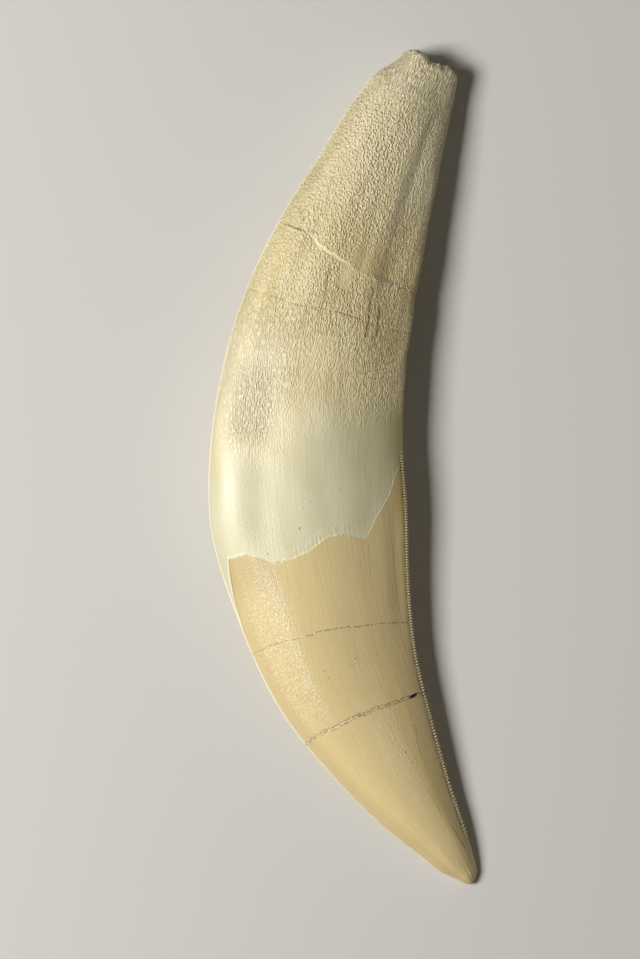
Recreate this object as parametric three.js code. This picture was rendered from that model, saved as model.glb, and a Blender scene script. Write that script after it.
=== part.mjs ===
// A sabre-toothed cat's canine: a flattened, curved tooth with a long root, a smooth neck and an enamelled
// crown. It lies on one flank on the plane z = 0. +Y points to the root end, +X to the concave edge, in mm.
import * as THREE from 'three';
import { LoftGeometry } from 'three/addons/geometries/LoftGeometry.js';
import { ImprovedNoise } from 'three/addons/math/ImprovedNoise.js';

// Cross-sections from the broken root end to the tip. "at" is the way along the curved axis, convex and
// concave are the section's two edges in plan, thick is its full thickness.
const STATIONS = [
  { at: 0, convex: [10.8, 76.4], concave: [21.2, 71.0], thick: 8.0 },
  { at: 9, convex: [2.5, 69.0], concave: [19.2, 60.5], thick: 10.6 },
  { at: 22, convex: [-5.0, 57.3], concave: [16.6, 48.6], thick: 12.6 },
  { at: 38, convex: [-13.6, 42.7], concave: [14.0, 33.3], thick: 14.2 },
  { at: 54, convex: [-20.4, 26.3], concave: [12.0, 19.0], thick: 15.2 },
  { at: 70, convex: [-24.3, 7.8], concave: [11.1, 5.8], thick: 15.4 },
  { at: 86, convex: [-24.5, -10.9], concave: [11.9, -7.6], thick: 14.6 },
  { at: 102, convex: [-19.4, -28.8], concave: [12.3, -21.1], thick: 13.0 },
  { at: 117, convex: [-11.9, -44.5], concave: [13.7, -33.9], thick: 11.3 },
  { at: 131, convex: [-2.3, -57.0], concave: [16.7, -46.6], thick: 9.4 },
  { at: 143, convex: [6.9, -66.3], concave: [19.8, -57.8], thick: 7.4 },
  { at: 151, convex: [13.6, -71.7], concave: [22.4, -65.6], thick: 5.7 },
  { at: 156, convex: [17.6, -75.0], concave: [23.9, -70.6], thick: 4.4 },
  { at: 159.8, convex: [21.2, -76.8], concave: [25.0, -74.9], thick: 2.9 },
];
const LENGTH = 159.8; // along the axis, between the two end sections
const TIP = [23.95, -77.55]; // the rounded tip's outermost point
const TIP_TAPER = 0.45; // how much the tip goes on narrowing as it rounds off
const CENTRE = [0.03, -0.27]; // the middle of the finished outline, moved to the origin

// How the thickness is shared out, how far its greatest value lies towards the convex edge (as an angle),
// and how far the underside is worn flat where the tooth rests.
const TOP_SHARE = 0.53;
const BELLY_SHIFT = 0.17;
const REST_DEPTH = 0.35;

// How keen the two edges are: 1 gives an oval section, higher values draw the edge out to a blade.
const CONVEX_KEENNESS = { root: 1.12, crown: 1.26, from: 84, to: 130 };
const CONCAVE_KEENNESS = { root: 1.4, crown: 1.6, from: 0, to: 40 };

// Lines that run across the tooth: [across, at] pairs, with across -1 at the convex edge and 1 at the
// concave one.
const FRACTURE = [
  [-1, 35.1], [-0.7, 35.4], [-0.48, 35.7], [-0.33, 37.1], [0.24, 39.1], [0.54, 39.4], [1, 39.3],
];
const ENAMEL_MARGIN = [
  [-1, 92.5], [-0.71, 91.4], [-0.45, 93.2], [-0.22, 92.9], [0.12, 90.2], [0.34, 89.8], [0.52, 91.2],
  [0.64, 88.6], [0.77, 84.5], [0.91, 79.1], [1, 73.6],
];
const UPPER_CRACK = [[-1, 107.4], [-0.73, 106.7], [-0.09, 106.8], [0.53, 108.5], [1, 110.9]];
const LOWER_CRACK = [[-1, 124.3], [-0.69, 123.8], [0.06, 123.8], [0.56, 124.7], [1, 125.9]];

// What the lines do to the surface: two of them are steps up towards the tip, with a slight dip before
// them, and the cracks are valleys and welts beside their line.
const FRACTURE_STEP = { height: 0.38, length: 7, dip: 0.06, dipLength: 4 };
const ENAMEL_STEP = { height: 0.26, length: 9, dip: 0.04, dipLength: 3 };
const ENAMEL_START = { from: -0.97, to: -0.8 }; // the convex edge stays bare
const CREASES = [
  { line: UPPER_CRACK, offset: 0, height: -0.22, width: 0.6 },
  { line: LOWER_CRACK, offset: -0.35, height: -0.42, width: 0.5 },
  { line: LOWER_CRACK, offset: 0.3, height: 0.16, width: 0.5 },
];

// Forms that run along the tooth: their line as [at, across] pairs, their widths on the convex and the
// concave side of it, and their span along the tooth as [from, to, fade].
const LONG_FORMS = {
  wideFurrow: { height: -0.42, line: [[0, 0.66], [40, 0.59]], widths: [0.14, 0.2], span: [7, 43, 6] },
  faintFurrow: { height: -0.16, line: [[0, 0.12], [34, -0.1]], widths: [0.07, 0.07], span: [11, 31, 4] },
  rootFold: { height: 0.1, line: [[20, -0.7], [60, -0.7]], widths: [0.13, 0.13], span: [22, 60, 7] },
  rootTrough: { height: -0.14, line: [[20, -0.48], [60, -0.48]], widths: [0.11, 0.11], span: [22, 60, 7] },
  neckFold: { height: 0.24, line: [[60, -0.7], [91, -0.7]], widths: [0.13, 0.13], span: [60, 91, 7] },
  neckTrough: { height: -0.32, line: [[60, -0.48], [91, -0.48]], widths: [0.11, 0.11], span: [60, 91, 7] },
  shoulder: { height: 0.3, line: [[98, -0.4], [124, -0.4]], widths: [0.26, 0.5], span: [101, 124, 7] },
};
const LONG_CREASES = {
  rearGroove: { height: -0.24, line: [[82, 0.86], [116, 0.86]], width: 0.12, span: [82, 116, 8] },
  rearRidge: {
    height: 0.2,
    line: [[122, 0.78], [130, 0.68], [137, 0.58], [144, 0.51], [151, 0.5], [159, 0.66]],
    width: 0.34,
    span: [124, 157, 4],
  },
  frontRidge: { height: 0.08, line: [[137, -0.25], [157, -0.25]], width: 0.3, span: [137, 157, 4] },
};

// Broad unevenness, in millimetres on the root and on the crown, and the length of its waves along the tooth.
const UNEVEN = { root: 0.22, crown: 0.05, from: 40, to: 80, broad: 11, fine: 4 };

// The root's broken end bulges along the axis, with a dip at its middle, and holds a shallow pit: rings as
// [size, raise] pairs.
const END_BULGE = { height: 1.4, dip: 0.8, dipPlace: 0.05, dipWidth: 0.25, reach: 5 };
const END_PIT = [[0.1, 0.3], [0.2, -0.2], [0.32, 0.7], [0.58, 1.0], [0.82, 0.75], [0.95, 0.4]];
const END_ROUGHNESS = 0.25;
const TIP_TURNS = [0.3, 0.55, 0.75, 0.88]; // rings of the rounded tip, as shares of its quarter turn

// Facets: more round the top half than round the underside.
const TOP_COLUMNS = 40;
const UNDER_COLUMNS = 24;

const COLOUR = 0xd8caa0;
const ROUGHNESS = 0.5;

const { lerp, smoothstep, clamp } = THREE.MathUtils;
const noise = new ImprovedNoise();

/** A smooth line through one [x, y] pair of every station. */
function stationLine(pair) {
  const points = STATIONS.map((station) => new THREE.Vector3(...pair(station), 0));
  return new THREE.CatmullRomCurve3(points, false, 'catmullrom', 0.5);
}

const convexEdge = stationLine((station) => station.convex);
const concaveEdge = stationLine((station) => station.concave);
const thicknessLine = stationLine((station) => [station.at, station.thick]);

/** The curve parameter, 0 to 1, of the section that lies "at" millimetres along the axis. */
function stationParameter(at) {
  const last = STATIONS.length - 1;
  const index = clamp(STATIONS.findLastIndex((station) => station.at <= at), 0, last - 1);
  const start = STATIONS[index].at;
  const share = (at - start) / (STATIONS[index + 1].at - start);
  return clamp((index + share) / last, 0, 1);
}

/** The height of a polyline of [x, y] pairs at x. */
function polyline(pairs, x) {
  const index = clamp(pairs.findLastIndex((pair) => pair[0] <= x), 0, pairs.length - 2);
  const [x0, y0] = pairs[index];
  const [x1, y1] = pairs[index + 1];
  return lerp(y0, y1, clamp((x - x0) / (x1 - x0), 0, 1));
}

const bell = (x, width) => Math.exp(-((x / width) ** 2));
const tent = (x, width) => Math.max(0, 1 - Math.abs(x) / width);

/** 1 between two places and 0 outside them, with a soft fade at both. */
function within(x, from, to, fade) {
  return smoothstep(x, from - fade, from + fade) * (1 - smoothstep(x, to - fade, to + fade));
}

/** A value that changes from its root figure to its crown figure between two places. */
function graded(value, at) {
  return lerp(value.root, value.crown, smoothstep(at, value.from, value.to));
}

/** How keen the section is at a place across it. */
function keenness(at, across) {
  return lerp(graded(CONVEX_KEENNESS, at), graded(CONCAVE_KEENNESS, at), smoothstep(across, -0.8, 0.8));
}

/** The smooth tooth. Phi goes round the section: 0 at the concave edge, then over the top. */
function skin(at, phi) {
  const t = stationParameter(at);
  const convex = convexEdge.getPoint(t);
  const concave = concaveEdge.getPoint(t);
  const thick = thicknessLine.getPoint(t).y;
  const across = Math.cos(phi);
  const rise = Math.sin(phi - BELLY_SHIFT * Math.sin(phi));
  const height = Math.sign(rise) * Math.abs(rise) ** keenness(at, across);
  const point = convex.lerp(concave, (1 + across) / 2);
  const share = height > 0 ? TOP_SHARE : 1 - TOP_SHARE;
  point.z = thick * (1 - TOP_SHARE + height * share) - REST_DEPTH;
  return point;
}

/** The smooth tooth's outward direction. */
function outward(at, phi) {
  const around = skin(at, phi + 0.03).sub(skin(at, phi - 0.03));
  const along = skin(at + 0.1, phi).sub(skin(at - 0.1, phi));
  return around.cross(along).normalize();
}

/** Height of a soft form along the tooth. */
function longForm(form, at, across) {
  const x = across - polyline(form.line, at);
  const width = x < 0 ? form.widths[0] : form.widths[1];
  return form.height * bell(x, width) * within(at, ...form.span);
}

/** Height of a sharp ridge or groove along the tooth. */
function longCrease(crease, at, across) {
  const x = across - polyline(crease.line, at);
  return crease.height * tent(x, crease.width) * within(at, ...crease.span);
}

/** A step up across a line that dies away beyond it. */
function stepUp(step, past) {
  return past > 0 ? step.height * Math.exp(-past / step.length) : -step.dip * Math.exp(past / step.dipLength);
}

/** The glued break, the enamel's edge and the two cracks of the crown. */
function crossLines(at, across) {
  const fracture = stepUp(FRACTURE_STEP, at - polyline(FRACTURE, across));
  const enamelled = smoothstep(across, ENAMEL_START.from, ENAMEL_START.to);
  const enamel = stepUp(ENAMEL_STEP, at - polyline(ENAMEL_MARGIN, across)) * enamelled;
  const creases = CREASES.map(({ line, offset, height, width }) => {
    return height * tent(at - polyline(line, across) - offset, width);
  });
  return creases.reduce((sum, height) => sum + height, fracture + enamel);
}

/** Broad unevenness, drawn out along the tooth and strongest on the root. */
function unevenness(at, phi) {
  const around = 5 * Math.cos(phi);
  const broad = noise.noise(around, at / UNEVEN.broad, 2 * Math.sin(phi));
  const fine = noise.noise(2.3 * around, at / UNEVEN.fine, 7);
  return graded(UNEVEN, at) * (broad + 0.5 * fine);
}

/** How far the real surface stands out of the smooth one. */
function relief(at, phi) {
  const across = Math.cos(phi);
  const forms = Object.values(LONG_FORMS).map((form) => longForm(form, at, across));
  const creases = Object.values(LONG_CREASES).map((crease) => longCrease(crease, at, across));
  const along = [...forms, ...creases].reduce((sum, height) => sum + height, 0);
  return along + crossLines(at, across) + unevenness(at, phi);
}

/** How far the root's broken end bulges along the axis. */
function endBulge(across) {
  const dip = END_BULGE.dip * bell(across - END_BULGE.dipPlace, END_BULGE.dipWidth);
  return END_BULGE.height * Math.sqrt(Math.max(0, 1 - across ** 4)) - dip;
}

const rootMiddle = skin(0, 0).lerp(skin(0, Math.PI), 0.5);
const innerMiddle = skin(6, 0).lerp(skin(6, Math.PI), 0.5);
const rootDirection = rootMiddle.clone().sub(innerMiddle).setZ(0).normalize();

/** Lays a point on the resting plane where it would fall below it. */
function rested(point) {
  point.z = Math.max(point.z, 0);
  return point;
}

/** A point of the finished body between the two end sections. */
function surface(at, phi) {
  const bulge = endBulge(Math.cos(phi)) * (1 - smoothstep(at, 0, END_BULGE.reach));
  const point = skin(at, phi).addScaledVector(outward(at, phi), relief(at, phi));
  return rested(point.addScaledVector(rootDirection, bulge));
}

/** Angles round the section, one for each column of facets. */
function columnAngles() {
  const top = Array.from({ length: TOP_COLUMNS }, (_, i) => (Math.PI * i) / TOP_COLUMNS);
  const under = Array.from({ length: UNDER_COLUMNS }, (_, i) => Math.PI * (1 + i / UNDER_COLUMNS));
  return [...top, ...under];
}

// Rows of facets follow the lines across the tooth: each span runs from one line to the next in equal
// steps, and "beside" gives further rows close to its first line.
const SPANS = [
  { line: [[-1, 0], [1, 0]], steps: 14, beside: [] },
  { line: FRACTURE, steps: 16, beside: [-0.25, 0.25] },
  { line: ENAMEL_MARGIN, steps: 5, beside: [-0.2, 0.2] },
  { line: UPPER_CRACK, steps: 6, beside: [-0.6, 0, 0.6] },
  { line: LOWER_CRACK, steps: 12, beside: [-0.85, -0.35, 0.3, 0.8] },
  { line: [[-1, LENGTH], [1, LENGTH]], steps: 0, beside: [0] },
];

/** For each row of facets, a function that gives its place along the axis from the place across. */
function rowLines() {
  const rows = [(across) => polyline(SPANS[0].line, across)];
  SPANS.forEach((span, i) => {
    span.beside.forEach((offset) => rows.push((across) => polyline(span.line, across) + offset));
    for (let step = 1; step < span.steps; step++) {
      const share = step / span.steps;
      rows.push((across) => lerp(polyline(span.line, across), polyline(SPANS[i + 1].line, across), share));
    }
  });
  return rows;
}

/** A ring inside the section at the root's broken end, shrunk by size and raised along the axis. */
function brokenRing(size, raise, angles) {
  return angles.map((phi) => {
    const rim = surface(0, phi);
    const middle = rootMiddle.clone().addScaledVector(rootDirection, endBulge(0));
    const rough = END_ROUGHNESS * noise.noise(9 * size * Math.cos(phi), 9 * size * Math.sin(phi), 3);
    return rested(middle.lerp(rim, size).addScaledVector(rootDirection, raise + rough));
  });
}

/** A ring of the rounded tip: turn goes from 0 at the last section to 1 at the tip itself. */
function tipRing(turn, angles) {
  const angle = (turn * Math.PI) / 2;
  const middle = skin(LENGTH, 0).lerp(skin(LENGTH, Math.PI), 0.5);
  const centre = middle.clone().lerp(new THREE.Vector3(...TIP, middle.z), Math.sin(angle));
  const size = Math.cos(angle) * (1 - TIP_TAPER * Math.sin(angle));
  return angles.map((phi) => rested(surface(LENGTH, phi).sub(middle).multiplyScalar(size).add(centre)));
}

function buildTooth() {
  const angles = columnAngles();
  const rootEnd = END_PIT.map(([size, raise]) => brokenRing(size, raise, angles));
  const body = rowLines().map((line) => angles.map((phi) => surface(line(Math.cos(phi)), phi)));
  const tip = TIP_TURNS.map((turn) => tipRing(turn, angles));
  const geometry = new LoftGeometry([...rootEnd, ...body, ...tip], { capStart: true, capEnd: true });
  geometry.translate(-CENTRE[0], -CENTRE[1], 0);
  const material = new THREE.MeshStandardMaterial({ color: COLOUR, roughness: ROUGHNESS, metalness: 0 });
  const tooth = new THREE.Mesh(geometry, material);
  tooth.name = 'tooth';
  return tooth;
}

const model = new THREE.Group();
model.add(buildTooth());

export default model;
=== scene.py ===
"""A sabre-toothed cat's canine: broken root, smooth neck and serrated, enamelled crown.

The tooth is one closed surface worked out from a place along the curved axis ("at", in
millimetres from the root end) and an angle round the section ("phi", 0 at the concave edge and
a quarter turn on top). Form, relief and denticles are in millimetres and become metres when the
mesh is made.
"""

import logging
import math
from collections.abc import Callable
from dataclasses import dataclass, field, replace
from enum import Enum

import bpy
import numpy as np
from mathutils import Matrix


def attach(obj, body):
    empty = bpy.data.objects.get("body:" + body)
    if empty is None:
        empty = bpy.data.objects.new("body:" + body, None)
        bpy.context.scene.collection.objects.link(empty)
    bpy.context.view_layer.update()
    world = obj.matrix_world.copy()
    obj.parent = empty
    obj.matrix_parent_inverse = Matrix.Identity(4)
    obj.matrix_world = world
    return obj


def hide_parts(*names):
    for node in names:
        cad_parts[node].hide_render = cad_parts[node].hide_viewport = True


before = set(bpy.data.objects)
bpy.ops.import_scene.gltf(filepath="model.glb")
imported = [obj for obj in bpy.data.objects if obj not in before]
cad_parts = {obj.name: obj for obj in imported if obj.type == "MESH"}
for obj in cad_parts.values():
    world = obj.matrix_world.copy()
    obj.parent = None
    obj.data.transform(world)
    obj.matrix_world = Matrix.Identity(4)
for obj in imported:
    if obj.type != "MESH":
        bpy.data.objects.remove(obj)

log = logging.getLogger("tooth")

Socket = bpy.types.NodeSocket
Colour = tuple[float, float, float]  # linear red, green and blue
Span = tuple[float, float, float]  # start, end and the fade at both
Sizes = tuple[float, float, float]  # across, along and up, in millimetres

MM = 0.001  # metres in a millimetre
TYPICAL_HALF_WIDTH = 17.0  # millimetres


def smoothstep(x: np.ndarray, start: float, end: float) -> np.ndarray:
    """Gives the ramp 3t² - 2t³, with t going from 0 at start to 1 at end."""
    t = np.clip((x - start) / (end - start), 0.0, 1.0)
    return t * t * (3.0 - 2.0 * t)


def bell(x: np.ndarray, width: float | np.ndarray) -> np.ndarray:
    """Gives the bell curve e^-(x/width)²."""
    return np.exp(-((x / width) ** 2))


def within(x: np.ndarray, start: float, end: float, fade: float) -> np.ndarray:
    """Gives 1 between start and end and 0 outside them, with a soft fade at both."""
    return smoothstep(x, start - fade, start + fade) * (1.0 - smoothstep(x, end - fade, end + fade))


class GradientNoise:
    """Smooth seeded noise in space, about -1 to 1, made of random slopes at whole-number points."""

    CELLS = 256
    SPREAD = 1.6  # brings the noise to about -1 to 1

    def __init__(self, seed: int) -> None:
        """Draws the slopes.

        Args:
            seed: Number that fixes the pattern.
        """
        random = np.random.default_rng(seed)
        slopes = random.normal(size=(self.CELLS, 3))
        self._order = random.permutation(self.CELLS)
        self._slopes = slopes / np.linalg.norm(slopes, axis=1, keepdims=True)

    def __call__(self, *place: np.ndarray) -> np.ndarray:
        """Samples the noise: each corner's slope times the way to it, blended by 6t⁵-15t⁴+10t³.

        Args:
            place: Two or three arrays of coordinates that broadcast together.

        Returns:
            The noise at each point.
        """
        coordinates = np.broadcast_arrays(*place, *([0.5] * (3 - len(place))))
        point = np.stack([np.asarray(axis, float) for axis in coordinates], axis=-1)
        cell = np.floor(point).astype(int)
        part = point - cell
        ease = part**3 * (part * (part * 6.0 - 15.0) + 10.0)
        total = np.zeros(point.shape[:-1])
        for corner in np.ndindex(2, 2, 2):
            chosen = np.zeros(point.shape[:-1], int)
            for axis in range(3):
                chosen = self._order[(chosen + cell[..., axis] + corner[axis]) % self.CELLS]
            reach = (self._slopes[chosen] * (part - corner)).sum(axis=-1)
            total += reach * np.where(np.array(corner) == 1, ease, 1.0 - ease).prod(axis=-1)
        return self.SPREAD * total


@dataclass(frozen=True)
class Graded:
    """A value that changes smoothly from one figure to another between two places."""

    first: float
    last: float
    start: float
    end: float

    def __call__(self, at: np.ndarray) -> np.ndarray:
        """Gives the value at each place along the tooth."""
        return self.first + (self.last - self.first) * smoothstep(at, self.start, self.end)


@dataclass(frozen=True)
class ToothForm:
    """The smooth tooth: two edge curves in plan and a bladed oval section between them."""

    # at, convex edge x and y, concave edge x and y, full thickness
    stations: tuple[tuple[float, ...], ...] = (
        (0.0, 10.8, 76.4, 21.2, 71.0, 8.0),
        (9.0, 2.74, 68.77, 19.2, 60.5, 10.6),
        (22.0, -4.74, 57.1, 16.7, 48.6, 12.6),
        (38.0, -13.46, 42.62, 14.0, 33.3, 14.2),
        (54.0, -20.1, 26.2, 11.9, 19.0, 15.2),
        (70.0, -24.02, 7.8, 11.1, 5.8, 15.4),
        (86.0, -24.32, -10.85, 12.0, -7.6, 14.6),
        (102.0, -19.22, -28.7, 12.45, -21.1, 13.0),
        (117.0, -11.9, -44.5, 13.7, -33.9, 11.3),
        (131.0, -2.3, -57.0, 16.7, -46.6, 9.4),
        (143.0, 6.9, -66.3, 19.8, -57.8, 7.4),
        (151.0, 13.6, -71.7, 22.4, -65.6, 5.7),
        (156.0, 17.6, -75.0, 23.9, -70.6, 4.4),
        (159.8, 21.2, -76.8, 25.0, -74.9, 2.9),
    )
    length: float = 159.8
    tip: tuple[float, float] = (23.95, -77.55)
    centre: tuple[float, float] = (0.03, -0.27)
    top_share: float = 0.53
    belly_shift: float = 0.17
    rest_depth: float = 0.35
    convex_keenness: Graded = Graded(1.12, 1.26, 84.0, 130.0)
    concave_keenness: Graded = Graded(1.4, 1.6, 0.0, 40.0)

    def section(self, at: np.ndarray) -> np.ndarray:
        """Gives the section's measures on a uniform Catmull-Rom curve through the stations.

        Args:
            at: Places along the axis.

        Returns:
            Convex x and y, concave x and y, and thickness in the last axis.
        """
        table = np.array(self.stations)
        last = len(table) - 1
        place = np.interp(at, table[:, 0], np.arange(last + 1))
        index = np.minimum(place.astype(int), last - 1)
        t = (place - index)[..., None]
        ends = [2 * table[0] - table[1], 2 * table[-1] - table[-2]]
        knots = np.vstack([ends[0], table, ends[1]])[:, 1:]
        a, b, c, d = (knots[index + shift] for shift in range(4))
        return b + 0.5 * t * (c - a + t * (2 * a - 5 * b + 4 * c - d + t * (3 * (b - c) + d - a)))

    def half_width(self, at: np.ndarray) -> np.ndarray:
        """Gives half the way from the convex to the concave edge."""
        part = self.section(at)
        return 0.5 * np.hypot(part[..., 2] - part[..., 0], part[..., 3] - part[..., 1])

    def inward(self, at: np.ndarray) -> np.ndarray:
        """Gives the flat unit vector from the concave edge to the convex one.

        Args:
            at: Places along the axis.

        Returns:
            Vectors, with x, y and 0 in the last axis.
        """
        part = self.section(at)
        way = part[..., 0:2] - part[..., 2:4]
        way = way / np.linalg.norm(way, axis=-1, keepdims=True)
        return np.concatenate([way, np.zeros_like(way[..., :1])], axis=-1)

    def keenness(self, at: np.ndarray, across: np.ndarray) -> np.ndarray:
        """Gives the exponent of the section: 1 is an oval, more draws the edge out to a blade."""
        convex, concave = self.convex_keenness(at), self.concave_keenness(at)
        return convex + (concave - convex) * smoothstep(across, -0.8, 0.8)

    def skin(self, at: np.ndarray, phi: np.ndarray) -> np.ndarray:
        """Gives the smooth surface.

        Across the section, x and y go from edge to edge with cos(phi). The height is
        sin(phi - shift·sin(phi)), which leans the belly to the convex edge, raised to the
        keenness and scaled to the thickness.

        Args:
            at: Places along the axis.
            phi: Angles round the section.

        Returns:
            Points, with x, y and z in the last axis.
        """
        part = self.section(at)
        across = np.cos(phi)
        rise = np.sin(phi - self.belly_shift * np.sin(phi))
        height = np.sign(rise) * np.abs(rise) ** self.keenness(at, across)
        share = np.where(height > 0, self.top_share, 1.0 - self.top_share)
        z = part[..., 4] * (1.0 - self.top_share + height * share) - self.rest_depth
        mix = (0.5 * (1.0 + across))[..., None]
        plan = part[..., 0:2] * (1.0 - mix) + part[..., 2:4] * mix - np.array(self.centre)
        return np.concatenate([plan, z[..., None]], axis=-1)

    def outward(self, at: np.ndarray, phi: np.ndarray) -> np.ndarray:
        """Gives the smooth surface's unit normal, from small steps round and along it.

        Args:
            at: Places along the axis.
            phi: Angles round the section.

        Returns:
            Unit vectors in the last axis.
        """
        turn, step = 0.03, 0.1
        around = self.skin(at, phi + turn) - self.skin(at, phi - turn)
        along = self.skin(at + step, phi) - self.skin(at - step, phi)
        normal = np.cross(around, along)
        return normal / np.linalg.norm(normal, axis=-1, keepdims=True)

    def straight(self, at: np.ndarray, phi: np.ndarray) -> np.ndarray:
        """Gives the place in the straightened tooth.

        Args:
            at: Places along the axis.
            phi: Angles round the section.

        Returns:
            The ways across, along and up in the last axis, in millimetres.
        """
        part = self.section(at)
        parts = (self.half_width(at) * np.cos(phi), at, 0.5 * part[..., 4] * np.sin(phi))
        return np.stack(np.broadcast_arrays(*parts), axis=-1)

    def middle(self, at: float) -> np.ndarray:
        """Gives the middle of one section."""
        return self.skin(np.full(2, at), np.array([0.0, math.pi])).mean(axis=0)


@dataclass(frozen=True)
class CrossLine:
    """A line across the tooth, as (across, at) pairs, with a ragged waver."""

    points: tuple[tuple[float, float], ...]
    waver: float = 0.0
    waver_length: float = 1.0
    ragged: tuple[float, float] = (-1.0, 1.0)
    seed: int = 1

    def at(self, phi: np.ndarray) -> np.ndarray:
        """Gives the line's place along the tooth at each angle.

        The straight pieces between the points are joined, and noise along the way round the
        section moves them to and fro where the line is ragged.

        Args:
            phi: Angles round the section.

        Returns:
            Places along the axis.
        """
        across = np.cos(phi)
        table = np.array(self.points)
        line = np.interp(across, table[:, 0], table[:, 1])
        if self.waver:
            noise = GradientNoise(self.seed)
            way = TYPICAL_HALF_WIDTH / self.waver_length
            shake = noise(way * across, 0.5 * way * np.sin(phi))
            shake = shake + 0.5 * noise(2.1 * way * across, way * np.sin(phi) + 9.0)
            line = line + self.waver * shake * within(across, *self.ragged, 0.08)
        return line

    def past(self, at: np.ndarray, phi: np.ndarray, half_width: np.ndarray) -> np.ndarray:
        """Gives the way past the line, square to it and positive towards the tip.

        The way along the axis is divided by sqrt(1 + slope²), and the slope is that of the
        straight pieces over a short way across.

        Args:
            at: Places along the axis.
            phi: Angles round the section.
            half_width: Half the section's width, in millimetres.

        Returns:
            The way in millimetres.
        """
        table = np.array(self.points)
        across, step = np.cos(phi), 0.03
        high = np.interp(across + step, table[:, 0], table[:, 1])
        low = np.interp(across - step, table[:, 0], table[:, 1])
        slope = (high - low) / (2.0 * step * half_width)
        return (at - self.at(phi)) / np.sqrt(1.0 + slope**2)


@dataclass(frozen=True)
class CrossLines:
    """Every line that runs across the tooth."""

    root_end: CrossLine = CrossLine(((-1.0, 0.0), (1.0, 0.0)))
    fracture: CrossLine = CrossLine(
        ((-1, 35.1), (-0.7, 35.4), (-0.48, 35.7), (-0.33, 37.1), (-0.03, 38.1), (0.24, 39.1),
         (0.54, 39.4), (0.84, 39.1), (1, 39.3)), waver=0.2, waver_length=1.2, seed=3)
    thin_crack: CrossLine = CrossLine(
        ((-1, 47.7), (-0.52, 48.0), (-0.32, 48.3), (-0.03, 47.7), (0.26, 47.6), (0.61, 48.0),
         (1, 47.5)), waver=0.16, waver_length=2.0, seed=4)
    margin: CrossLine = CrossLine(
        ((-1, 104.5), (-0.985, 103), (-0.97, 101), (-0.96, 98.4), (-0.94, 96.3), (-0.91, 94.1),
         (-0.87, 91.4), (-0.71, 91.2), (-0.45, 93.2), (-0.3, 93.1), (-0.22, 92.9), (-0.04, 92.1),
         (0.12, 90.2), (0.34, 89.7), (0.42, 90.8), (0.48, 91.2), (0.53, 91.3), (0.57, 90.9),
         (0.62, 89.6), (0.68, 87.4), (0.78, 84.6), (0.84, 82.5), (0.9, 79.1), (0.96, 76.5), (1, 73.6)),
        waver=0.34, waver_length=0.8, ragged=(-0.84, 0.5), seed=5)
    upper_crack: CrossLine = CrossLine(
        ((-1, 107.4), (-0.73, 106.7), (-0.46, 106.8), (-0.09, 106.8), (0.22, 107.6), (0.53, 108.5),
         (0.79, 109.8), (1, 110.9)), waver=0.2, waver_length=1.4, seed=6)
    lower_crack: CrossLine = CrossLine(
        ((-1, 124.4), (-0.94, 124.2), (-0.69, 123.6), (-0.42, 123.8), (-0.2, 123.5), (0.06, 123.8),
         (0.3, 124.0), (0.56, 124.7), (0.81, 125.0), (1, 125.9)),
        waver=0.27, waver_length=0.9, seed=7)
    tip: CrossLine = CrossLine(((-1.0, 159.8), (1.0, 159.8)))
    # where the bark of the root fades into the smooth neck: no row follows it
    neck: CrossLine = CrossLine(
        ((-1, 76), (-0.7, 76), (-0.4, 76.5), (-0.1, 72.5), (0.3, 69.5), (0.8, 66.5), (1, 66)))

    @property
    def margin_row(self) -> CrossLine:
        """The row of the margin, which leaves it where it runs down beside the concave edge."""
        points = tuple(point for point in self.margin.points if point[0] < 0.55)
        return replace(self.margin, points=(*points, (0.62, 90.6), (1, 88.6)))


@dataclass(frozen=True)
class LongForm:
    """A soft ridge (or furrow, where the height is negative) that runs along the tooth."""

    ROUNDING = 0.04

    height: float
    line: tuple[tuple[float, float], ...]
    widths: tuple[float, float]
    span: tuple[float, float, float]
    sharp: bool = False

    def __call__(self, at: np.ndarray, across: np.ndarray) -> np.ndarray:
        """Gives the form's height: a bell (or a rounded tent) across its line.

        Args:
            at: Places along the axis.
            across: Places across the section, -1 to 1.

        Returns:
            The height in millimetres.
        """
        table = np.array(self.line)
        x = across - np.interp(at, table[:, 0], table[:, 1])
        width = np.where(x < 0, self.widths[0], self.widths[1])
        if self.sharp:
            slope = np.sqrt((x / width) ** 2 + self.ROUNDING**2)
            shape = np.clip(1.0 + self.ROUNDING - slope, 0.0, None)
        else:
            shape = bell(x, width)
        return self.height * shape * within(at, *self.span)


@dataclass(frozen=True)
class Valley:
    """A valley along a line across the tooth, filled unevenly with crumbs, in millimetres."""

    depth: float
    width: float
    shift: float = 0.0
    crumbs: float = 0.0

    def __call__(self, past: np.ndarray, crumb: np.ndarray) -> np.ndarray:
        """Gives the height (crumbs·crumb - depth)·e^-((past - shift)/width)²."""
        return (self.crumbs * crumb - self.depth) * bell(past - self.shift, self.width)


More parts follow.
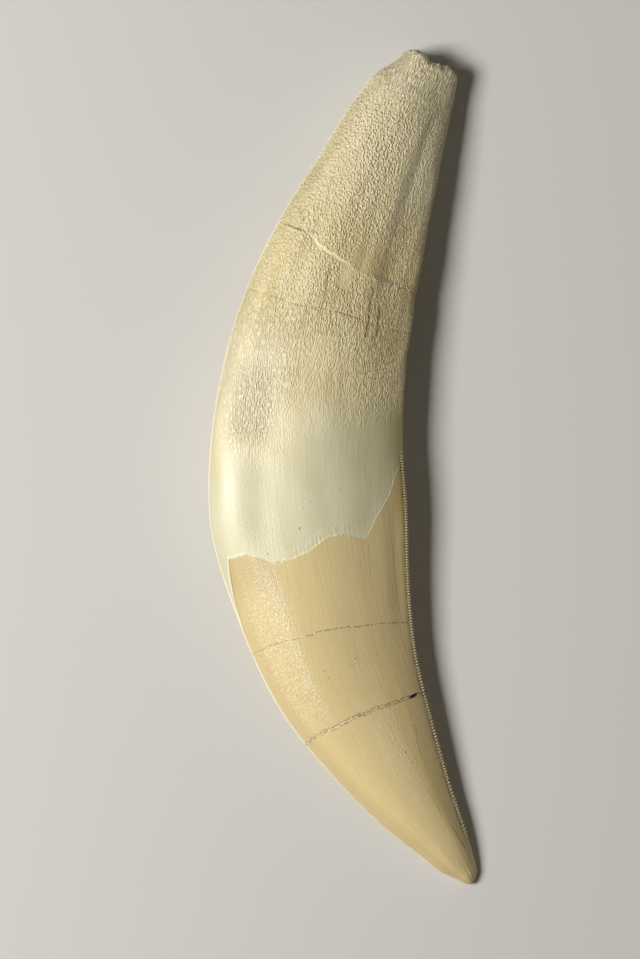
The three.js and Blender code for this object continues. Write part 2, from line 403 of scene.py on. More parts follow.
@dataclass(frozen=True)
class Relief:
    """How far the real surface stands out of the smooth one, all in millimetres."""

    lines: CrossLines = CrossLines()
    forms: tuple[LongForm, ...] = (
        LongForm(-0.42, ((0, 0.66), (40, 0.59)), (0.14, 0.2), (7, 43, 6)),
        LongForm(-0.05, ((0, 0.12), (34, -0.1)), (0.07, 0.07), (11, 31, 4)),
        LongForm(0.1, ((20, -0.7), (60, -0.7)), (0.13, 0.13), (22, 60, 7)),
        LongForm(-0.14, ((20, -0.48), (60, -0.48)), (0.11, 0.11), (22, 60, 7)),
        LongForm(0.9, ((60, -0.89), (91, -0.93)), (0.05, 0.22), (62, 91, 7)),
        LongForm(-0.5, ((60, -0.47), (91, -0.47)), (0.155, 0.155), (66, 91, 7)),
        LongForm(-0.23, ((60, -0.25), (91, -0.25)), (0.16, 0.16), (65, 91, 7)),
        LongForm(0.3, ((98, -0.4), (124, -0.4)), (0.26, 0.5), (101, 124, 7)),
        LongForm(-0.16, ((82, 0.86), (116, 0.86)), (0.12, 0.12), (82, 110, 8), True),
        LongForm(0.2, ((112, 0.55), (122, 0.62), (130, 0.62), (137, 0.55), (144, 0.51), (151, 0.5),
                       (159, 0.66)), (0.62, 0.34), (117, 157, 6), True),
        LongForm(0.08, ((137, -0.25), (157, -0.25)), (0.3, 0.3), (137, 157, 4), True),
    )
    # across, step up beyond the glued break
    fracture_steps: tuple[tuple[float, float], ...] = (
        (-1.0, 0.0), (-0.6, 0.04), (-0.42, -0.1), (0.1, -0.12), (0.35, 0.02), (1.0, -0.14))
    fracture_fade: float = 7.0
    enamel_step: float = 0.12
    enamel_fade: float = 9.0
    step_width: float = 0.16
    break_crumbs: Valley = Valley(0.0, 0.35, crumbs=0.12)
    break_gap: Valley = Valley(0.12, 0.12)
    thin_crack: Valley = Valley(0.08, 0.12)
    upper_crack: Valley = Valley(0.015, 0.13, crumbs=0.02)
    lower_fill: Valley = Valley(-0.01, 0.2, crumbs=0.1)
    lower_first: Valley = Valley(0.11, 0.1, -0.26, -0.08)
    lower_second: Valley = Valley(0.02, 0.1, 0.28, -0.06)
    crumb_size: float = 0.7

    def _step_up(self, past: np.ndarray, height: float | np.ndarray, fade: float) -> np.ndarray:
        """Gives a rounded step up across a line, dying away as e^-(past/fade) beyond it."""
        ramp = smoothstep(past, -self.step_width, self.step_width)
        return height * ramp * np.exp(-np.clip(past, 0.0, None) / fade)

    def past(self, at: np.ndarray, phi: np.ndarray, half_width: np.ndarray) -> dict[str, np.ndarray]:
        """Gives the way past each line, positive towards the tip.

        The lower crack narrows towards the convex edge, so its ways are drawn out there.

        Args:
            at: Places along the axis.
            phi: Angles round the section.
            half_width: Half the section's width, in millimetres.

        Returns:
            The ways in millimetres, by the line's name.
        """
        names = ("fracture", "thin_crack", "neck", "margin", "upper_crack", "lower_crack")
        past = {name: getattr(self.lines, name).past(at, phi, half_width) for name in names}
        past["lower_crack"] = past["lower_crack"] / (0.6 + 0.4 * smoothstep(np.cos(phi), -0.9, -0.35))
        return past

    def _cross(self, past: dict[str, np.ndarray], straight: np.ndarray,
               across: np.ndarray) -> np.ndarray:
        """Gives the steps at the glued break and the enamel's edge, and the cracks' valleys.

        Args:
            past: The way past each line across the tooth.
            straight: Places in the straightened tooth.
            across: Places across the section, -1 to 1.

        Returns:
            The height in millimetres.
        """
        crumb = GradientNoise(21)(*(straight[..., axis] / self.crumb_size for axis in range(3)))
        table = np.array(self.fracture_steps)
        steps = np.interp(across, table[:, 0], table[:, 1])
        broken = self._step_up(past["fracture"], steps, self.fracture_fade)
        broken = broken + self.break_crumbs(past["fracture"], crumb) * smoothstep(across, 0.3, 0.45)
        gap = self.break_gap(past["fracture"], crumb)
        broken = broken + gap * within(across, -0.9, -0.55, 0.05)
        height = self.enamel_step * (1.0 - 0.8 * smoothstep(across, 0.42, 0.6))
        height = height * smoothstep(across, -1.0, -0.88)
        enamel = self._step_up(past["margin"], height, self.enamel_fade)
        thin = self.thin_crack(past["thin_crack"], crumb)
        upper = self.upper_crack(past["upper_crack"], crumb)
        lower = self.lower_fill(past["lower_crack"], crumb)
        lower = lower + self.lower_first(past["lower_crack"], crumb)
        second = self.lower_second(past["lower_crack"], crumb)
        lower = lower + second * smoothstep(across, -0.4, 0.0)
        return broken + enamel + thin + upper + lower

    def _texture(self, at: np.ndarray, straight: np.ndarray, across: np.ndarray,
                 past_neck: np.ndarray) -> np.ndarray:
        """Gives the unevenness, the root's flutes and the wrinkles where the root meets the neck.

        Each is noise in the straightened tooth, drawn out along it by its own ratio.

        Args:
            at: Places along the axis.
            straight: Places in the straightened tooth.
            across: Places across the section, -1 to 1.
            past_neck: The way past the neck's line.

        Returns:
            The height in millimetres.
        """
        x, y, z = straight[..., 0], straight[..., 1], straight[..., 2]
        noise = GradientNoise(11)
        root = 1.0 - smoothstep(at, 40.0, 80.0)
        broad = (0.05 + 0.15 * root) * noise(x / 6.0, y / 12.0, z / 6.0)
        rooty = 1.0 - smoothstep(past_neck + 5.0 * noise(x / 2.0, y / 30.0, z / 2.0), -14.0, 2.0)
        flutes = 0.07 * rooty * noise(x / 1.4, y / 9.0, z / 1.4 + 20.0)
        gathered = within(across, -0.84, -0.42, 0.1) * within(at, 59.0, 74.5, 3.0)
        lean = x + 0.12 * (y - 60.0)
        folds = noise(lean / 0.8, y / 5.0, z / 0.8 + 60.0)
        wrinkles = 0.13 * gathered * (0.4 - np.abs(folds)) * 1.6
        return broad + flutes + wrinkles

    def height(self, at: np.ndarray, phi: np.ndarray, straight: np.ndarray,
               past: dict[str, np.ndarray]) -> np.ndarray:
        """Adds up every form.

        Args:
            at: Places along the axis.
            phi: Angles round the section.
            straight: Places in the straightened tooth.
            past: The way past each line across the tooth.

        Returns:
            The height over the smooth surface.
        """
        across = np.cos(phi)
        along = sum(form(at, across) for form in self.forms)
        texture = self._texture(at, straight, across, past["neck"])
        return along + self._cross(past, straight, across) + texture


class Edge(Enum):
    """The tooth's two edges, with their place across the section."""

    CONCAVE = 1
    CONVEX = -1


@dataclass(frozen=True)
class Serration:
    """A row of denticles along one cutting edge."""

    edge: Edge
    start: float
    end: float
    pitch: float = 0.58
    notch: float = 0.2
    bead: float = 0.16
    groove: float = 0.07
    reach: float = 0.6
    # strength of the painted highlight on the beads and the painted shade beside them
    light_and_shade: float = 1.0

    def shape(self, at: np.ndarray, way: np.ndarray) -> tuple[np.ndarray, np.ndarray, np.ndarray]:
        """Works out the notches and the beads between them.

        The row is |sin(pi·at/pitch)|, so round crests stand between narrow notches. Beads stand
        up beside the edge, and a groove runs along their inner side.

        Args:
            at: Places along the axis.
            way: Distances from this edge round the section, in millimetres.

        Returns:
            How far the edge is cut in, how far the surface rises, and its tone: above 0 a
            painted highlight on the beads and below 0 painted shade between and beside them.
        """
        uneven = GradientNoise(31)(at / 2.0, 0.0 * at)
        turn = np.pi * (at + 0.1 * uneven) / self.pitch
        crest = np.abs(np.sin(turn))
        size = within(at, self.start, self.end, 3.0) * (1.0 + 0.5 * uneven)
        cut = self.notch * size * (1.0 - crest) * bell(way, self.reach)
        rise = self.bead * crest * bell(way - 0.75 * self.reach, 0.5 * self.reach)
        rise = rise - self.groove * bell(way - 1.6 * self.reach, 0.5 * self.reach)
        # the tone is painted light: a highlight on the crests, shade between them and along the groove
        tone = (2.2 * crest**2 - 1.0) * bell(way - 0.5 * self.reach, 0.75 * self.reach)
        tone = tone - 0.5 * bell(way - 1.65 * self.reach, 0.45 * self.reach)
        return cut, size * rise, self.light_and_shade * size * tone


@dataclass(frozen=True)
class RootEnd:
    """The root's broken end: a ragged rim round a shallow, rough pit."""

    # across, height over the end section
    rim: tuple[tuple[float, float], ...] = (
        (-1.0, 0.2), (-0.95, 0.85), (-0.9, 1.3), (-0.72, 1.42), (-0.59, 1.35), (-0.45, 1.5),
        (-0.35, 1.2), (-0.24, 0.75), (-0.06, 0.4), (0.12, 0.5), (0.35, 0.8), (0.55, 1.2),
        (0.66, 1.55), (0.77, 1.6), (0.88, 1.35), (0.95, 0.85), (1.0, 0.0),
    )
    reach: float = 5.0
    # height, place along the axis and width
    shoulder: tuple[tuple[float, float, float], ...] = ((0.45, 4.9, 2.0), (-0.3, 1.3, 1.3))
    rings: int = 14
    # mean height of the rim, depth of the pit, size and height of the crest round it
    level: float = 1.2
    pit_depth: float = 1.1
    pit_edge: float = 0.72
    crest: float = 0.55

    def bulge(self, at: np.ndarray, phi: np.ndarray) -> np.ndarray:
        """Gives how far the rim stands out along the axis, fading out along the root.

        Args:
            at: Places along the axis.
            phi: Angles round the section.

        Returns:
            The way out in millimetres.
        """
        across = np.cos(phi)
        noise = GradientNoise(41)
        table = np.array(self.rim)
        ragged = noise(7.0 * across, 5.0 * np.sin(phi)) + 0.6 * noise(16.0 * across, 11.0 * np.sin(phi))
        height = np.interp(across, table[:, 0], table[:, 1]) + 0.22 * ragged
        return height * (1.0 - smoothstep(at, 0.0, self.reach))

    def swell(self, at: np.ndarray, across: np.ndarray) -> np.ndarray:
        """Gives the convex edge's shoulder and the dip before it, as bell curves along it."""
        total = sum(height * bell(at - middle, width) for height, middle, width in self.shoulder)
        return total * smoothstep(across, -0.55, -0.95)

    def hollow(self, size: np.ndarray, phi: np.ndarray) -> np.ndarray:
        """Gives the pit's floor below the rim, with its roughness.

        Outside the pit's edge the height is a parabola with its crest there, and inside it
        falls by the depth times (1 - size/edge)^1.5.

        Args:
            size: The way out from the pit's middle, 0 to 1.
            phi: Angles round the section.

        Returns:
            The height along the axis, below the rim where negative.
        """
        noise = GradientNoise(42)
        x, y = size * np.cos(phi), size * np.sin(phi)
        rounded = self.crest * (1.0 - ((size - self.pit_edge) / (1.0 - self.pit_edge)) ** 2)
        inside = np.clip(1.0 - size / self.pit_edge, 0.0, None)
        shape = np.where(size > self.pit_edge, rounded, self.crest - self.pit_depth * inside**1.5)
        rough = noise(6.0 * x, 3.5 * y) + 0.6 * noise(13.0 * x, 8.0 * y)
        return shape + 0.3 * rough * smoothstep(1.0 - size, 0.0, 0.12)


@dataclass(frozen=True)
class Strip:
    """A strip of finer facets along one edge, between two rows of the grid."""

    column: int
    half: int
    first_row: int
    last_row: int
    factor: int


class SkinGrid:
    """Rows and columns over the whole tooth, with finer strips along the serrated edges."""

    # name of the line, rows beside it, and steps to the next line
    SPANS = (
        ("root_end", (0.0,), 112),
        ("fracture", (-0.5, -0.3, -0.18, -0.08, 0.0, 0.08, 0.18, 0.32, 0.5), 26),
        ("thin_crack", (-0.25, -0.1, 0.0, 0.1, 0.25), 118),
        ("margin_row", (-0.4, -0.2, -0.1, 0.0, 0.1, 0.2, 0.4), 60),
        ("upper_crack", (-0.35, -0.2, -0.1, 0.0, 0.1, 0.2, 0.35), 44),
        ("lower_crack",
         (-0.6, -0.46, -0.38, -0.3, -0.22, -0.1, 0.0, 0.1, 0.22, 0.3, 0.38, 0.5, 0.7), 107),
        ("tip", (0.0,), 0),
    )
    TOP_COLUMNS = 100
    UNDER_COLUMNS = 56
    STRIP_HALF = 7
    EARLY_ROWS = 44
    TIP_TURNS = 12
    TIP_TAPER = 0.45
    # the section that spaces the columns, how much closer they stand at the edges, and how far
    TYPICAL_PLACE = 95.0
    CLOSER = 2.4
    CLOSER_REACH = 0.7

    def __init__(self, form: ToothForm, lines: CrossLines, root_end: RootEnd) -> None:
        """Lays out the grid.

        Args:
            form: The smooth tooth.
            lines: The lines that the rows follow.
            root_end: The broken end, for its number of rings.
        """
        self.form = form
        self.phi = self._columns()
        self.columns = len(self.phi)
        self.body, marks = self._rows(lines)
        self.rings = root_end.rings
        self.strips = self._strips(marks)

    def _columns(self) -> np.ndarray:
        """Spaces the columns evenly along a typical section, closer beside the two edges.

        Returns:
            The columns' angles.
        """
        phi = np.linspace(0.0, 2.0 * np.pi, 4001)
        ring = self.form.skin(np.full_like(phi, self.TYPICAL_PLACE), phi)
        step = np.linalg.norm(np.diff(ring, axis=0), axis=1)
        middle = 0.5 * (phi[1:] + phi[:-1])
        gap = TYPICAL_HALF_WIDTH * (1.0 - np.abs(np.cos(middle)))
        step = step * (1.0 + self.CLOSER * bell(gap, self.CLOSER_REACH))
        way = np.concatenate([[0.0], np.cumsum(step)])
        half = len(phi) // 2
        top = np.interp(np.linspace(0.0, way[half], self.TOP_COLUMNS + 1)[:-1], way, phi)
        under = np.interp(np.linspace(way[half], way[-1], self.UNDER_COLUMNS + 1)[:-1], way, phi)
        return np.concatenate([top, under])

    def _rows(self, lines: CrossLines) -> tuple[np.ndarray, dict[str, int]]:
        """Lays rows beside every line and evenly between them.

        Args:
            lines: The lines that the rows follow.

        Returns:
            The place along the tooth for each row and column, and each line's own row.
        """
        rows: list[np.ndarray] = []
        marks: dict[str, int] = {}
        for index, (name, beside, steps) in enumerate(self.SPANS):
            line = getattr(lines, name).at(self.phi)
            marks[name] = len(rows) + len(beside) // 2
            rows.extend(line + offset for offset in beside)
            if steps:
                after, first = self.SPANS[index + 1][:2]
                target = getattr(lines, after).at(self.phi) + first[0]
                rows.extend(np.linspace(rows[-1], target, steps + 1)[1:-1])
        return np.array(rows), marks

    def _strips(self, marks: dict[str, int]) -> list[Strip]:
        """Places the finer strips on the crown's two edges.

        Args:
            marks: Each line's own row.

        Returns:
            The strips, in the order of their vertices.
        """
        concave, convex, half = 0, self.TOP_COLUMNS, self.STRIP_HALF
        return [
            Strip(concave, half, marks["margin_row"] - self.EARLY_ROWS, marks["margin_row"], 4),
            Strip(concave, half, marks["margin_row"], marks["upper_crack"], 4),
            Strip(concave, half, marks["upper_crack"], marks["tip"], 4),
            Strip(convex, half, marks["lower_crack"], marks["tip"], 2),
        ]

    def _columns_of(self, strip: Strip) -> np.ndarray:
        """Gives a strip's columns, which may pass the seam at the concave edge."""
        return (strip.column + np.arange(-strip.half, strip.half + 1)) % self.columns

    def strip_places(self, strip: Strip) -> tuple[np.ndarray, np.ndarray, np.ndarray]:
        """Gives the sub-rows of a strip, between the grid's own rows.

        Args:
            strip: The strip to lay out.

        Returns:
            Places along the tooth, angles, and which sub-rows are new.
        """
        count = (strip.last_row - strip.first_row) * strip.factor
        place = strip.first_row + np.arange(count + 1) / strip.factor
        low = np.floor(place).astype(int)
        high = np.minimum(low + 1, strip.last_row)
        share = (place - low)[:, None]
        columns = self._columns_of(strip)
        at = self.body[low][:, columns] * (1.0 - share) + self.body[high][:, columns] * share
        phi = np.broadcast_to(self.phi[columns], at.shape)
        return at, phi, np.arange(count + 1) % strip.factor != 0

    def faces(self) -> tuple[np.ndarray, np.ndarray]:
        """Joins all vertices: quads, fans at both ends, and longer faces beside the strips.

        The vertices come in this order: root end's middle, rings and rows by column, tip's
        point, then each strip's new sub-rows.

        Returns:
            The corner list, and the number of corners of each face.
        """
        count = self.rings + len(self.body) + self.TIP_TURNS
        grid = 1 + np.arange(count * self.columns).reshape(count, self.columns)
        beside = np.roll(grid, -1, axis=1)
        quads = np.stack([grid[:-1], beside[:-1], beside[1:], grid[1:]], axis=-1)
        whole = np.ones(quads.shape[:2], bool)
        tip = 1 + count * self.columns
        loops = [np.stack([np.zeros(self.columns, int), beside[0], grid[0]], axis=-1)]
        loops.append(np.stack([grid[-1], beside[-1], np.full(self.columns, tip)], axis=-1))
        start = tip + 1
        for strip in self.strips:
            rows = slice(self.rings + strip.first_row, self.rings + strip.last_row + 1)
            columns = self._columns_of(strip)
            count = strip.last_row - strip.first_row
            fine = np.empty((count * strip.factor + 1, len(columns)), int)
            fine[:: strip.factor] = grid[rows][:, columns]
            new = np.arange(len(fine)) % strip.factor != 0
            fine[new] = start + np.arange(new.sum() * len(columns)).reshape(-1, len(columns))
            start += new.sum() * len(columns)
            loops.append(self._quads(fine))
            first, last = rows.start, rows.stop - 1
            whole[first:last, columns] = False
            whole[first:last, columns[0] - 1] = False
            inner = fine[:-1].reshape(count, strip.factor, -1)[:, 1:]
            left = quads[first:last, columns[0] - 1]
            right = quads[first:last, columns[-1]]
            loops.append(np.hstack([left[:, :2], inner[:, :, 0], left[:, 2:]]))
            loops.append(np.hstack([right, inner[:, ::-1, -1]]))
        loops.append(quads[whole])
        sizes = np.concatenate([np.full(len(part), part.shape[1]) for part in loops])
        return np.concatenate([part.ravel() for part in loops]), sizes

    @staticmethod
    def _quads(grid: np.ndarray) -> np.ndarray:
        """Gives the four corners of every cell of an open grid."""
        corners = (grid[:-1, :-1], grid[:-1, 1:], grid[1:, 1:], grid[1:, :-1])
        return np.stack(corners, axis=-1).reshape(-1, 4)


@dataclass(frozen=True)
class Pit:
    """A tiny pit in the top face, with its radii along and across in millimetres."""

    at: float
    across: float
    length: float = 0.15
    width: float = 0.15


@dataclass(frozen=True)
class Split:
    """A fine dark line that runs along the tooth, from one (at, across) to another."""

    start: tuple[float, float]
    end: tuple[float, float]
    width: float
    strength: float = 1.0


@dataclass(frozen=True)
class FineMarks:
    """Tiny pits and splits, which the finish draws from each vertex's way to the nearest one."""

    FAR = 9.0
    FADE = 1.6

    # two lists, so that neighbours in one list are well apart
    pits: tuple[tuple[Pit, ...], ...] = (
        (Pit(113.8, -0.23), Pit(113.7, 0.19), Pit(114.8, -0.73, 0.12, 0.12), Pit(130.2, 0.66),
         Pit(131.9, 0.64), Pit(133.8, 0.35, 0.18, 0.18), Pit(134.8, 0.60), Pit(137.8, 0.86),
         Pit(83.1, 0.03, 0.1, 0.1), Pit(91.6, -0.47), Pit(84.5, 0.78, 0.12, 0.12),
         Pit(32.1, -0.81, 0.3, 0.2), Pit(33.6, -0.69, 0.35, 0.25)),
        (Pit(115.2, -0.22, 0.13, 0.13), Pit(114.5, 0.09, 0.1, 0.1), Pit(131.1, 0.67),
         Pit(133.3, 0.59, 0.1, 0.1), Pit(135.9, 0.38), Pit(137.6, 0.57, 0.1, 0.1),
         Pit(141.7, 0.87), Pit(84.1, -0.05, 0.1, 0.1), Pit(81.3, 0.34, 0.12, 0.12),
         Pit(71.1, -0.94, 0.2, 0.12), Pit(32.7, -0.76, 0.25, 0.2)),
    )
    splits: tuple[Split, ...] = (
        Split((39.9, 0.44), (52.1, 0.50), 0.34),
        Split((42.7, 0.57), (51.5, 0.62), 0.3),
        Split((38.8, -0.16), (46.8, -0.07), 0.16, 0.6),
        Split((93.0, -0.48), (109.0, -0.42), 0.09, 0.25),
        Split((107.2, -0.05), (110.4, -0.05), 0.1, 0.45),
        Split((91.0, 0.83), (106.0, 0.86), 0.14, 0.3),
        Split((91.0, 0.59), (104.5, 0.55), 0.1, 0.28),
        Split((88.5, 0.74), (102.6, 0.69), 0.1, 0.2),
        Split((141.0, 0.4), (149.0, 0.5), 0.12, 0.35),
        Split((149.0, 0.5), (157.0, 0.74), 0.14, 0.5),
        Split((129.0, 0.66), (138.0, 0.57), 0.08, 0.4),
        Split((142.2, -0.43), (155.4, -0.44), 0.1, 0.2),
    )
    reach: float = 0.6

    def way_to_pit(self, form: ToothForm, straight: np.ndarray, pits: tuple[Pit, ...]) -> np.ndarray:
        """Gives the way to the nearest pit, in that pit's radii.

        Args:
            form: The smooth tooth, which places the pits.
            straight: Places in the straightened tooth.
            pits: The pits to look at.

        Returns:
            The way across and along, and a third part that is 0 within reach and large beyond.
        """
        way = np.zeros_like(straight) + np.array([0.0, 0.0, self.FAR])
        for pit in pits:
            middle = form.half_width(np.array(pit.at)) * pit.across
            x, y = straight[..., 0] - middle, straight[..., 1] - pit.at
            near = (np.hypot(x, y) < self.reach + max(pit.length, pit.width)) & (straight[..., 2] > 0)
            scaled = np.stack([x / pit.width, y / pit.length, np.zeros_like(x)], axis=-1)
            way = np.where(near[..., None], scaled, way)
        return way

    def way_to_split(self, form: ToothForm, straight: np.ndarray) -> np.ndarray:
        """Gives the way to the nearest split, in its widths.

        Args:
            form: The smooth tooth, which places the splits.
            straight: Places in the straightened tooth.

        Returns:
            The way across, 0, and a third part that grows with the split's weakness and is
            large beyond its ends.
        """
        way = np.zeros_like(straight) + np.array([0.0, 0.0, self.FAR])
        half_width = form.half_width(straight[..., 1])
        for split in self.splits:
            (first, left), (last, right) = split.start, split.end
            share = (straight[..., 1] - first) / (last - first)
            x = straight[..., 0] - half_width * (left + (right - left) * share)
            near = (np.abs(x) < self.reach) & (straight[..., 2] > 0) & (np.abs(share - 0.5) < 0.75)
            weak = 0.3 + 0.7 * (1.0 - split.strength)
            beyond = weak + self.FAR * (1.0 - within(straight[..., 1], first, last, self.FADE))
            scaled = np.stack([x / split.width, np.zeros_like(x), beyond], axis=-1)
            way = np.where(near[..., None], scaled, way)
        return way


@dataclass(frozen=True)
class Surface:
    """All vertices' places and, by name, what the finish needs to know at each of them."""

    place: np.ndarray
    facts: dict[str, np.ndarray]

    def changed(self, change: Callable[[np.ndarray], np.ndarray]) -> "Surface":
        """Gives the surface with every array changed in the same way."""
        return Surface(change(self.place), {name: change(part) for name, part in self.facts.items()})


class SkinBuilder:
    """Works out every vertex of the grid."""

    # how far down the axis the point lies that gives the root end its direction
    ROOT_STEP = 6.0
    # height of the soft edge round the flat that the tooth rests on
    REST_SOFTNESS = 0.3

    def __init__(self, form: ToothForm, relief: Relief, root_end: RootEnd,
                 serrations: tuple[Serration, ...], fine_marks: FineMarks) -> None:
        """Keeps what shapes the tooth.

        Args:
            form: The smooth tooth.
            relief: What stands out of it.
            root_end: The broken end.
            serrations: The denticles of both edges.
            fine_marks: The tiny pits and splits.
        """
        self.form = form
        self.relief = relief
        self.root_end = root_end
        self.serrations = serrations
        self.fine_marks = fine_marks
        middle, inner = form.middle(0.0), form.middle(self.ROOT_STEP)
        way = (middle - inner) * np.array([1.0, 1.0, 0.0])
        self.root_middle = middle
        self.root_way = way / np.linalg.norm(way)

    def surface(self, at: np.ndarray, phi: np.ndarray) -> Surface:
        """Works out points between the two end sections.

        The smooth point is moved out by the relief, in from the edge by the notches, up (or
        down on the underside) by the beads, and along the axis by the root end's bulge.

        Args:
            at: Places along the axis.
            phi: Angles round the section.

        Returns:
            The points with their attributes.
        """
        form = self.form
        straight = form.straight(at, phi)
        half_width = form.half_width(at)
        past = self.relief.past(at, phi, half_width)
        height = self.relief.height(at, phi, straight, past)
        height = height + self.root_end.swell(at, np.cos(phi))
        smooth = form.skin(at, phi)
        up = smooth[..., 2] - form.skin(at, np.zeros_like(phi))[..., 2]
        place = smooth + form.outward(at, phi) * height[..., None]
        tone = np.zeros_like(height)
        for row in self.serrations:
            side = row.edge.value
            # the denticles' painted highlight and shade, carried to the finish
            cut, rise, shade = row.shape(at, np.hypot(half_width * (1.0 - side * np.cos(phi)), up))
            tone = tone + shade
            place = place + form.inward(at) * (side * cut)[..., None]
            place[..., 2] += np.sign(np.sin(phi)) * rise
        place = place + self.root_way * self.root_end.bulge(at, phi)[..., None]
        across = np.broadcast_to(np.cos(phi), at.shape)
        gap = half_width * (1.0 - np.abs(across))
        marks = self.fine_marks
        facts = {
            "straight": straight,
            "lines": np.stack([past["fracture"], past["thin_crack"], past["margin"]], axis=-1),
            "cracks": np.stack([past["upper_crack"], past["lower_crack"], across], axis=-1),
            "zones": np.stack([past["neck"], tone, gap], axis=-1),
            "pits": marks.way_to_pit(form, straight, marks.pits[0]),
            "more_pits": marks.way_to_pit(form, straight, marks.pits[1]),
            "splits": marks.way_to_split(form, straight),
        }
        return Surface(place, facts)

    def root_rings(self, phi: np.ndarray, rings: int) -> Surface:
        """Shrinks the rim ring by ring to the pit's middle.

        Args:
            phi: The columns' angles.
            rings: How many rings there are besides the middle.

        Returns:
            The middle point and then the rings, from the smallest out.
        """
        rim = self.surface(np.zeros_like(phi), phi)
        size = np.arange(rings)[:, None] / rings + 0.5 / rings
        level = self.root_middle + self.root_way * self.root_end.level
        flat = level + (rim.place - level) * size[..., None]
        place = flat + self.root_way * self.root_end.hollow(size, phi)[..., None]
        inner = np.array([0.0, 1.0, 0.0]) * (1.0 - size[..., None])
        straight = rim.facts["straight"] * size[..., None] - inner
        middle = place[0].mean(axis=0, keepdims=True)
        return self._with_pole(place, straight, rim, middle, first=True)

    def tip_rings(self, phi: np.ndarray, turns: int, taper: float) -> Surface:
        """Rounds off the tip over a quarter turn.

        Each ring is the last section times cos(turn)·(1 - taper·sin(turn)), moved towards the
        tip by sin(turn).

        Args:
            phi: The columns' angles.
            turns: How many rings there are besides the tip.
            taper: How much the tip goes on narrowing.

        Returns:
            The rings and then the tip.
        """
        length = self.form.length
        rim = self.surface(np.full_like(phi, length), phi)
        middle = self.form.middle(length)
        tip = np.array([*(np.array(self.form.tip) - self.form.centre), middle[2]])
        turn = (np.arange(1, turns + 1) / (turns + 1) * 0.5 * np.pi)[:, None, None]
        size = np.cos(turn) * (1.0 - taper * np.sin(turn))
        place = middle + (tip - middle) * np.sin(turn) + (rim.place - middle) * size
        straight = rim.facts["straight"] + np.array([0.0, 1.0, 0.0]) * np.sin(turn)
        return self._with_pole(place, straight, rim, tip[None], first=False)

    @staticmethod
    def _with_pole(place: np.ndarray, straight: np.ndarray, rim: Surface, pole: np.ndarray,
                   first: bool) -> Surface:
        """Flattens rings and puts their pole before or after them.

        Args:
            place: The rings' points.
            straight: Their places in the straightened tooth.
            rim: The last full section, whose attributes they share.
            pole: The pole's point.
            first: Whether the pole comes before the rings.

        Returns:
            The points with their attributes.
        """
        facts = {name: np.broadcast_to(part, place.shape) for name, part in rim.facts.items()}
        facts["straight"] = straight
        inner, order = (0, 1) if first else (-1, -1)
        poles = {name: part[inner].mean(axis=0, keepdims=True) for name, part in facts.items()}
        joined = {name: np.vstack([poles[name], part.reshape(-1, 3)][::order])
                  for name, part in facts.items()}
        return Surface(np.vstack([pole, place.reshape(-1, 3)][::order]), joined)

    def build(self, grid: SkinGrid) -> Surface:
        """Works out the whole grid in the order that its faces expect.

        Args:
            grid: The rows, columns and strips.

        Returns:
            Every vertex with its attributes, resting on the floor.
        """
        phi = np.broadcast_to(grid.phi, grid.body.shape)
        parts = [self.root_rings(grid.phi, grid.rings), self.surface(grid.body, phi),
                 self.tip_rings(grid.phi, grid.TIP_TURNS, grid.TIP_TAPER)]
        for strip in grid.strips:
            at, angle, new = grid.strip_places(strip)
            parts.append(self.surface(at[new], angle[new]))
        flat = [part.changed(lambda rows: rows.reshape(-1, 3)) for part in parts]
        place = self._rested(np.vstack([part.place for part in flat]))
        facts = {name: np.vstack([part.facts[name] for part in flat]) for name in flat[0].facts}
        return Surface(place, facts)

    def _rested(self, place: np.ndarray) -> np.ndarray:
        """Wears the underside flat with a soft edge: z becomes half of z + sqrt(z² + edge²).

        Args:
            place: The points, with the flat at z = 0.

        Returns:
            The points, with the lowest one at z = 0.
        """
        place = place.copy()
        place[:, 2] = 0.5 * (place[:, 2] + np.sqrt(place[:, 2] ** 2 + self.REST_SOFTNESS**2))
        place[:, 2] -= place[:, 2].min()
        return place


@dataclass(frozen=True)
class Coat:
    """Colours and gloss of one region, as linear values."""

    light: Colour
    dark: Colour
    roughness: float


